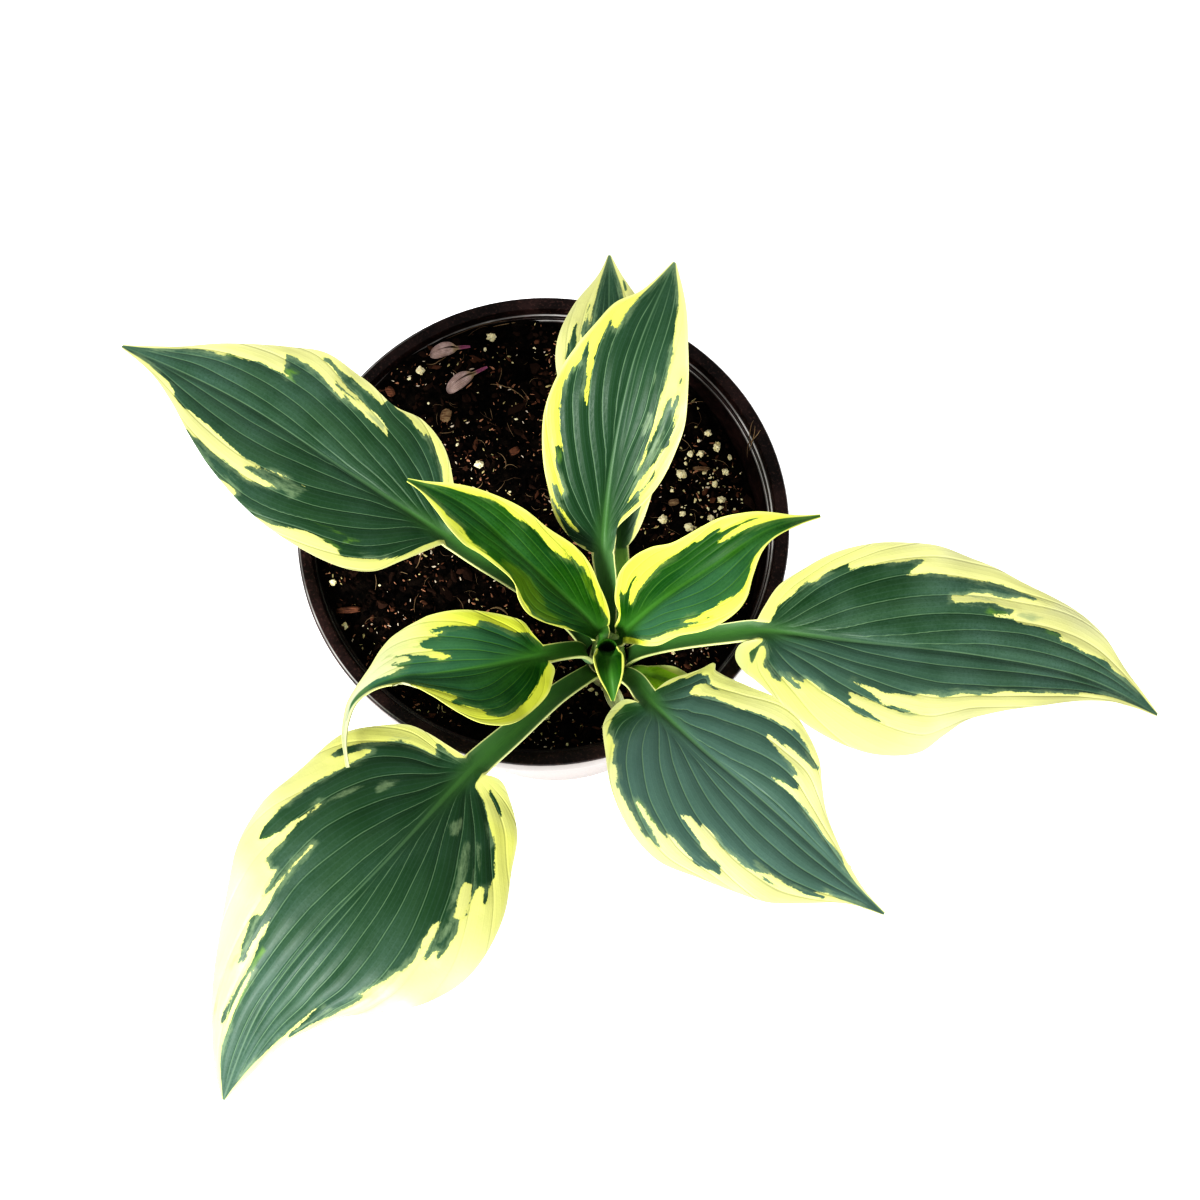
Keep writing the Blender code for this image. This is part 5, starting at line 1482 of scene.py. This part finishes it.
def lump_shapes(count, level, dice, spread):
    """Vertices and faces of a few uneven lumps, each modelled from an icosphere."""
    shapes = []
    for _ in range(count):
        start_fresh()
        bpy.ops.mesh.primitive_ico_sphere_add(subdivisions=level, radius=1.0)
        lump = bpy.context.object
        places = places_of(lump.data)
        shift = dice.uniform(0, 50)
        for i, place in enumerate(places):
            swell = noise.noise(Vector(place) * 1.4 + Vector((shift, 0, 0)))
            places[i] *= 1.0 + spread * swell + dice.uniform(-0.3, 0.3) * spread
        shapes.append((places, np.array([tuple(face.vertices) for face in lump.data.polygons])))
        bpy.data.objects.remove(lump, do_unlink=True)
    return shapes


def strew(name, parts, finish, slot, smooth=0):
    """One piece of many small parts; each is its places, its faces and its tone."""
    places, faces, tones, start = [], [], [], 0
    for part_places, part_faces, tone in parts:
        places.append(part_places)
        faces += (np.array(part_faces) + start).tolist()
        tones += [tone] * len(part_places)
        start += len(part_places)
    mesh = bpy.data.meshes.new(name)
    mesh.from_pydata(np.concatenate(places) * MM, [], faces)
    put_attribute(mesh, "tone", tones)
    mesh.materials.append(finish.material)
    piece = bpy.data.objects.new(name, mesh)
    bpy.context.scene.collection.objects.link(piece)
    hand_over(piece, slot, smooth=smooth)


def scatter(shapes, spots, dice):
    """Turned and sized copies of lumps: spots are (x, y, z, length, width, height, tone)."""
    for x, y, z, length, width, height, tone in spots:
        places, faces = dice.choice(shapes)
        turn = Matrix.Rotation(dice.uniform(0, math.tau), 3, "Z")
        tilt = Matrix.Rotation(dice.uniform(-0.5, 0.5), 3, "X")
        sized = places * (np.array((length, width, height)) / 2)
        yield sized @ np.array(turn @ tilt).T + (x, y, z), faces, tone


def within_pot(dice, limit):
    """A place on the soil, clear of the wall and of the shoot."""
    while True:
        x, y = dice.uniform(-limit, limit), dice.uniform(-limit, limit)
        reach = min(float(wall_radius(soil_level(x, y))) - 3.2, limit)
        if math.hypot(x, y) < reach and math.dist((x, y), SHOOT_MIDDLE) > SHOOT_RADIUS - 0.5:
            return x, y


def make_crumbs(finish):
    """Crumbs all over the mix, then small flecks in drifts, some of them pale."""
    dice = random.Random(SEEDS["crumbs"])
    spots = []
    for _ in range(CRUMBS):
        x, y = within_pot(dice, CRUMB_REACH)
        size = 0.7 + 1.5 * dice.random() ** 2.2 + (1.6 if dice.random() < 0.03 else 0.0)
        flat = dice.uniform(0.5, 0.85)
        spots.append((x, y, surface(x, y) + size * flat * 0.12, size * dice.uniform(1.0, 2.2),
                      size, size * flat, dice.random()))
    for _ in range(FLECKS):
        x, y = within_pot(dice, CRUMB_REACH)
        if noise_at(x / 13.0, y / 13.0, 4.0) < -0.12:
            continue
        size = dice.uniform(0.25, 0.6) + 0.5 * dice.random() ** 5
        spots.append((x, y, surface(x, y) + 0.45, size * dice.uniform(1, 3), size, size,
                      dice.choice((1.0, 1.1, 1.2, 1.3, 1.3, 1.3, 1.5, 1.5, 1.9, 2.0))))
    shapes = lump_shapes(8, 1, dice, 0.8)
    strew("soil_crumbs", scatter(shapes, spots, dice), finish, "soil_mix")


# Small grains half buried in the mix: x, y and size
FEW_GRAINS = [
    (-17, 71, 2.0), (44, 17, 1.4), (52, 14, 1.2), (55.5, 24.6, 1.3), (49, 27.4, 1.2),
    (64.6, 30.6, 1.6), (61, 12, 1.4), (53.6, 36, 1.1), (-21, 64.8, 1.1), (-46.6, 52.2, 1.2),
    (-10, 40, 0.9), (-30, 30, 0.9), (-60, 10, 1.0), (-55, -20, 0.9), (12, 55, 1.0), (35, 48, 1.1),
    (20, -66, 1.2), (44, -40, 1.3), (-66, -8, 1.0), (-40, 44, 0.9), (41, 32, 1.0), (66, 12, 1.0),
    (16, -53.4, 1.4), (17.8, -54.6, 1.1), (14.4, -52.2, 1.0),
    (-12, 14, 0.9), (-36, -52, 1.1), (60, -28, 1.0), (8, -72, 1.0), (-4, 66, 0.9), (27, 66, 0.9),
]


def nodes_called(start):
    """The frame's nodes whose names start so, in order."""
    return sorted(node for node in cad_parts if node.startswith(start))


def make_grains(finish):
    """Perlite: each loose grain stands for its own node, and a few are half buried."""
    dice = random.Random(SEEDS["grains"])
    for node in nodes_called("perlite_"):
        low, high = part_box(node)
        middle, size = (low + high) / 2, high - low
        start_fresh()
        bpy.ops.mesh.primitive_ico_sphere_add(subdivisions=4, radius=0.5)
        grain = name_piece(f"grain_of_{node}", finish)
        places = places_of(grain.data)
        shift = Vector((dice.uniform(0, 90), 0, 0))
        for i, place in enumerate(places):
            where = Vector(place)
            swell = 0.55 * noise.noise(where * 2.6 + shift) + 0.26 * noise.noise(where * 6.0 + shift)
            pits = max(0.0, noise.noise(where * 14.0 + shift) - 0.15) * 0.22
            places[i] *= 1.06 + swell - pits
        places = places * (size.x, size.y, size.z * 1.15) + tuple(middle - Vector((0, 0, 0.2 * MM)))
        put_places(grain.data, places)
        hand_over(grain, "perlite", node, smooth=180)
    few = list(FEW_GRAINS)
    for _ in range(GRAIN_DRIFT):
        few.append((dice.gauss(55, 7), dice.gauss(18, 12), dice.uniform(0.35, 0.9)))
    for _ in range(LOOSE_GRAINS):
        few.append((*within_pot(dice, GRAIN_REACH), dice.uniform(0.3, 0.7)))
    spots = []
    for x, y, size in few:
        if math.hypot(x, y) < 73:
            spots.append((x, y, surface(x, y) + size * 0.2 + 0.2, size * dice.uniform(1, 1.5), size,
                          size * 0.8, 1.0))
    shapes = lump_shapes(5, 2, dice, 0.6)
    strew("small_perlite", scatter(shapes, spots, dice), finish, "perlite")


# Bark chips, in the order of their nodes: turn in degrees, length, width and height
BARK_CHIPS = [(4, 7.4, 2.2, 1.3), (178, 5.4, 1.4, 1.1), (30, 3.2, 2.6, 1.4), (70, 4.4, 3.4, 1.4),
              (120, 3.6, 2.6, 1.2), (15, 3.4, 2.2, 1.2)]


def make_bark(finishes):
    """Split chips of bark with ragged ends; each stands for its own node."""
    dice = random.Random(SEEDS["bark"])
    for number, node in enumerate(nodes_called("bark_chip_")):
        degrees, *size = BARK_CHIPS[number]
        low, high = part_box(node)
        start_fresh()
        bpy.ops.mesh.primitive_cube_add(size=1.0)
        chip = name_piece(f"split_{node}", finishes[number % len(finishes)])
        with editing():
            bpy.ops.mesh.subdivide(number_cuts=9)
        places = places_of(chip.data)
        shift = dice.uniform(0, 90)
        for i, (x, y, z) in enumerate(places):
            grain = noise_at(x * 1.5 + shift, y * 9, z * 7)
            ends = noise_at(shift, y * 7, z * 5)
            round_y = y * math.sqrt(max(1 - (1.5 * z) ** 2 * 0.6, 0.1))
            round_z = z * math.sqrt(max(1 - (1.7 * y) ** 2 * 0.75, 0.05))
            taper = 1 - 0.35 * abs(2 * x) ** 3
            places[i] = (x * (1 + 0.25 * ends), round_y * taper * (1 + 0.3 * grain),
                         round_z * taper * (1 + 0.35 * grain) + 0.12 * x * x)
        turn = np.array(Matrix.Rotation(math.radians(degrees), 3, "Z"))
        put_places(chip.data, places * size @ turn.T * MM + tuple((low + high) / 2))
        hand_over(chip, "bark", node, smooth=180)


# Fibres: start, end, how far the middle bows to the left, and thickness
LONG_FIBRES = [
    ((-19, 52), (-7, 47), 1.5, 0.5), ((-41, 58), (-34, 62), -1.0, 0.45),
    ((-27, 69), (-19, 73), 1.2, 0.4), ((-41, -4), (-43, -14), 0.8, 0.5),
    ((31, 24), (37, 24.5), 0.4, 0.8), ((-18, -27), (-12, -29), 1.2, 0.8),
    ((45, 44), (56, 50), 1.6, 0.4),
]

# Strands caught on the rim and its ledges: start, end, bow, height at each end, and lift
RIM_FIBRES = [
    ((71.6, 34.2), (69.9, 27.0), 0.5, (160.1, 154.5), 1.6),
    ((71.2, 36.0), (70.2, 30.4), -0.6, (160.2, 156.0), 1.6),
    ((73.4, 32.4), (70.0, 29.4), 0.4, (160.3, 155.4), 1.6),
    ((70.6, 30.8), (69.4, 25.2), -0.5, (157.0, 153.0), 1.6),
    ((-35.8, 67.2), (-13.2, 74.9), 0.9, (156.4, 156.4), 0.2),
    ((-48.0, 58.8), (-39.5, 64.9), 0.4, (156.4, 153.8), 0.4),
    ((-20.0, 73.0), (-8.0, 75.4), 0.3, (154.0, 153.8), 0.6),
]
FIBRE_STEPS = 10
FIBRE_SIDES = 4


def fibre(start, end, bow, thickness, dice, lift, heights=None):
    """Places and faces of a thin bowed strand lying on the soil, or between two heights."""
    start, end = np.array(start, float), np.array(end, float)
    heading = end - start
    length = np.linalg.norm(heading)
    left = np.array((-heading[1], heading[0])) / length
    across, up = np.array((*left, 0.0)), np.array((0.0, 0.0, 1.0))
    wobble = dice.uniform(0, math.tau)
    rings = []
    for i in range(FIBRE_STEPS + 1):
        t = i / FIBRE_STEPS
        sway = bow * 4 * t * (1 - t) + 0.036 * length * math.sin(5 * t + wobble) * t * (1 - t)
        x, y = start + heading * t + left * sway
        ground = heights[0] + (heights[1] - heights[0]) * t if heights else surface(x, y)
        middle = np.array((x, y, ground + 0.35 + thickness / 2 + lift * 4 * t * (1 - t)))
        radius = thickness / 2 * (1 - 0.6 * abs(2 * t - 1) ** 3)
        for k in range(FIBRE_SIDES):
            angle = math.tau * k / FIBRE_SIDES
            rings.append(middle + radius * (math.cos(angle) * across + math.sin(angle) * up))
    faces = []
    for i in range(FIBRE_STEPS):
        for k in range(FIBRE_SIDES):
            a, b = i * FIBRE_SIDES + k, i * FIBRE_SIDES + (k + 1) % FIBRE_SIDES
            faces.append((b, a, a + FIBRE_SIDES, b + FIBRE_SIDES))
    last = FIBRE_STEPS * FIBRE_SIDES
    faces += [(0, 1, 2, 3), (last + 3, last + 2, last + 1, last)]
    return np.array(rings), faces


def make_fibres(finish):
    """Coconut and root fibres strewn over the mix."""
    dice = random.Random(SEEDS["fibres"])
    strands = [fibre(*line, dice, FIBRE_LIFT) for line in LONG_FIBRES]
    for _ in range(SHORT_FIBRES):
        x, y = within_pot(dice, FIBRE_REACH)
        angle, length = dice.uniform(0, math.tau), dice.uniform(1.5, 7.0)
        end = (x + length * math.cos(angle), y + length * math.sin(angle))
        if math.hypot(*end) < 71:
            strands.append(fibre((x, y), end, dice.uniform(-0.3, 0.3) * length, dice.uniform(0.12, 0.34),
                                 dice, dice.uniform(0, 0.8)))
    for start, end, bow, heights, lift in RIM_FIBRES:
        strands.append(fibre(start, end, bow, RIM_FIBRE, dice, lift, heights))
    strew("soil_fibres", [(*strand, dice.random()) for strand in strands], finish, "bark", smooth=180)


# Fallen bracts: where the round end and the point of each lie
BRACTS = {
    "fallen_bract_upper": ((-39.8, 61.4), (-25.9, 64.4)),
    "fallen_bract_lower": ((-33.8, 48.6), (-19.9, 57.6)),
}


def make_bract(node, round_end, point, finish):
    """A husk rolled round its length, open along the top and pointed at one end."""
    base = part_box(node)[0].z / MM + 0.2
    start, end = np.array(round_end), np.array(point)
    length = np.linalg.norm(end - start)
    heading = (end - start) / length
    left = np.array((-heading[1], heading[0]))
    husk = grow_grid(f"husk_of_{node}", 36, 40, finish)
    flat = places_of(husk.data)
    places = np.zeros_like(flat)
    for i, (across, along, _) in enumerate(flat):
        t = (along + 1) / 2
        bulb = math.sqrt(max(1.0 - ((t - 0.33) / 0.335) ** 2, 0.0))
        taper = (bulb ** 4 + (0.28 * min(6 * t, 1.0) * (1.0 - 0.6 * t ** 6)) ** 4) ** 0.25
        wrap = math.radians(179 - 60 * t ** 3) * across
        crinkle = 0.12 * math.sin(9 * across + 6 * t) + 0.1 * noise_at(across * 3, t * 6, base)
        radius = 2.6 * taper * (1 + crinkle * 0.4)
        rise = 1.35 * taper * (1 - math.cos(wrap)) + 0.8 * t * t + 0.3 * crinkle
        side = radius * math.sin(wrap) + 0.8 * math.sin(3 * t)
        x, y = start + heading * (length * t) + left * side
        places[i] = (x, y, base + rise)
    put_places(husk.data, places * MM)
    put_map(husk.data, (flat[:, 1::-1] + 1) / 2)
    apply_modifier(husk, "SOLIDIFY", thickness=0.22 * MM, offset=0.0)
    hand_over(husk, "dry_bract", node, smooth=60)


# Shoot: the bundle of leaf bases

SHOOT_MIDDLE = (21.5, -46.5)
SHOOT_TOP = 176.5
SHOOT_FOOT = 134.3
SHOOT_RADIUS = 6.5
SHOOT_SIDES = 96


def make_shoot(finish):
    """The bundle: a round bar with lobes where one leaf base wraps another."""
    rings = [(SHOOT_RADIUS - 0.6, SHOOT_FOOT), (SHOOT_RADIUS, SHOOT_FOOT + 1)]
    rings += [(SHOOT_RADIUS - 0.003 * i * i, SHOOT_FOOT + 1 + 1.6 * i) for i in range(1, 23)]
    rings += ring_steps(0.0, SHOOT_TOP, [
        (5.2, -3.9), (4.6, -2.2), (3.8, -1), (2.6, -0.3), (1.2, 0), (0.3, 0)])
    grow_rings(rings, SHOOT_SIDES)
    shoot = name_piece("shoot_of_leaf_bases", finish)
    places = places_of(shoot.data)
    for i, (x, y, z) in enumerate(places):
        height = (z / MM - SHOOT_FOOT) / (SHOOT_TOP - SHOOT_FOOT)
        angle = math.atan2(y, x) + 0.5 * height
        lobe = abs(math.sin(angle * 3.5 + 0.6))
        fold = 0.55 * (lobe ** 0.6 - 0.7) * min(height * 3, 1.0)
        ridges = 0.06 * math.sin(angle * 31)
        places[i, :2] *= 1 + (fold + ridges) * MM / max(math.hypot(x, y), 3 * MM)
    put_places(shoot.data, places + np.array((*SHOOT_MIDDLE, 0)) * MM)
    hand_over(shoot, "pale_shoot", "shoot", smooth=50)


# The rolled base of the leaf that is still opening
ROLL_MIDDLE = (21.2, -50.0)
ROLL_FOOT = 174.0
ROLL_TOP = 190.0


def make_rolled_base(finish):
    """An open roll: up the outside, over a thin lip and down the inside."""
    grow_rings(ring_steps(0.0, ROLL_TOP, [
        (2.2, -16), (2.5, -13), (2.7, -9), (3.0, -5), (3.3, -1.5), (3.3, -0.2), (3.1, 0), (2.8, -0.1),
        (2.6, -1.5), (2.0, -5), (1.2, -8), (0.2, -9)]), 48)
    roll = name_piece("rolled_leaf_base", finish)
    places = places_of(roll.data)
    height = (places[:, 2] / MM - ROLL_FOOT) / (ROLL_TOP - ROLL_FOOT)
    back = places[:, 1] / 3.2
    angle = np.arctan2(places[:, 1], places[:, 0])
    places[:, :2] *= (1.0 + 0.06 * np.sin(angle * 2 + 1.0))[:, None]
    places[:, 2] += 2.0 * back * height ** 3
    places[:, 0] += ROLL_MIDDLE[0] * MM
    places[:, 1] += (ROLL_MIDDLE[1] - 1.6 * height ** 2) * MM
    put_places(roll.data, places)
    hand_over(roll, "leaf", smooth=60)


# Everything made

make_pot(pot_inside_finish(), pot_outside_finish())
make_soil(soil_finish())
make_crumbs(crumb_finish())
make_grains(grain_finish())
make_bark([bark_finish("bark_red_brown", (74, 38, 24), (150, 86, 56)),
           bark_finish("bark_tan", (110, 72, 44), (196, 156, 112))])
make_fibres(fibre_finish())
dry = bract_finish()
for node, (round_end, point) in BRACTS.items():
    make_bract(node, round_end, point, dry)
make_shoot(shoot_finish())
make_rolled_base(rolled_finish())
sheath_look = sheath_finish()
young_looks = dict.fromkeys(("inner_left_leaf", "inner_right_leaf", "unfurling_leaf", "curled_leaf"),
                            young_top)
young_looks["low_leaf"] = pale_young_top
for name in LEAVES:
    if name == "sheath":
        make_leaf(name, sheath_look, sheath_look, "pale_shoot")
    else:
        make_leaf(name, young_looks.get(name, grown_top), grown_under, "leaf")


# Studio, in metres

FLOOR_WIDTH = 24.0
WHITE = (1.0, 1.0, 1.0, 1.0)
LIGHT_PLACE = (-0.9, -1.5, 1.4)
LIGHT_AIM = (0.0, -0.03, 0.2)
LIGHT_SIZE = 0.7
LIGHT_POWER = 56.0
LIGHT_COLOUR = (0.98, 0.99, 1.0)
SKY_STRENGTH = 0.45
CAMERA_PLACE = (0.019, -0.174, 0.684)
CAMERA_TILT = 15.65        # degrees from straight down
CAMERA_SPREAD = 40.0       # degrees from side to side


def make_floor():
    start_fresh()
    bpy.ops.mesh.primitive_plane_add(size=FLOOR_WIDTH)
    paint = Finish("floor_white", Roughness=0.9, Specular_IOR_Level=0.1, Emission_Strength=0.5,
                   Emission_Color=WHITE, Base_Color=(0.97, 0.97, 0.965, 1.0))
    name_piece("studio_floor", paint)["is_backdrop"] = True


def add_light():
    """A soft square light at the front left, turned towards the plant."""
    light = bpy.data.lights.new("window_front_left", "AREA")
    light.size = LIGHT_SIZE
    light.energy = LIGHT_POWER
    light.color = LIGHT_COLOUR
    lamp = bpy.data.objects.new(light.name, light)
    lamp.location = LIGHT_PLACE
    lamp.rotation_euler = (Vector(LIGHT_AIM) - Vector(LIGHT_PLACE)).to_track_quat("-Z", "Y").to_euler()
    bpy.context.scene.collection.objects.link(lamp)


make_floor()
add_light()

scene = bpy.context.scene
world = bpy.data.worlds.new("soft_white")
world.use_nodes = True
world.node_tree.nodes["Background"].inputs["Color"].default_value = WHITE
world.node_tree.nodes["Background"].inputs["Strength"].default_value = SKY_STRENGTH
scene.world = world
scene.view_settings.view_transform = "Standard"
scene.view_settings.look = "High Contrast"

lens = bpy.data.cameras.new("camera")
lens.sensor_width = 36.0
lens.angle = math.radians(CAMERA_SPREAD)
camera = bpy.data.objects.new("camera", lens)
camera.location = CAMERA_PLACE
camera.rotation_euler = (math.radians(CAMERA_TILT), 0.0, 0.0)
scene.collection.objects.link(camera)
scene.camera = camera

boxes = {"cad": cad_box, "visual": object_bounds()}
{key: [list(corner) for corner in box] for key, box in boxes.items()}
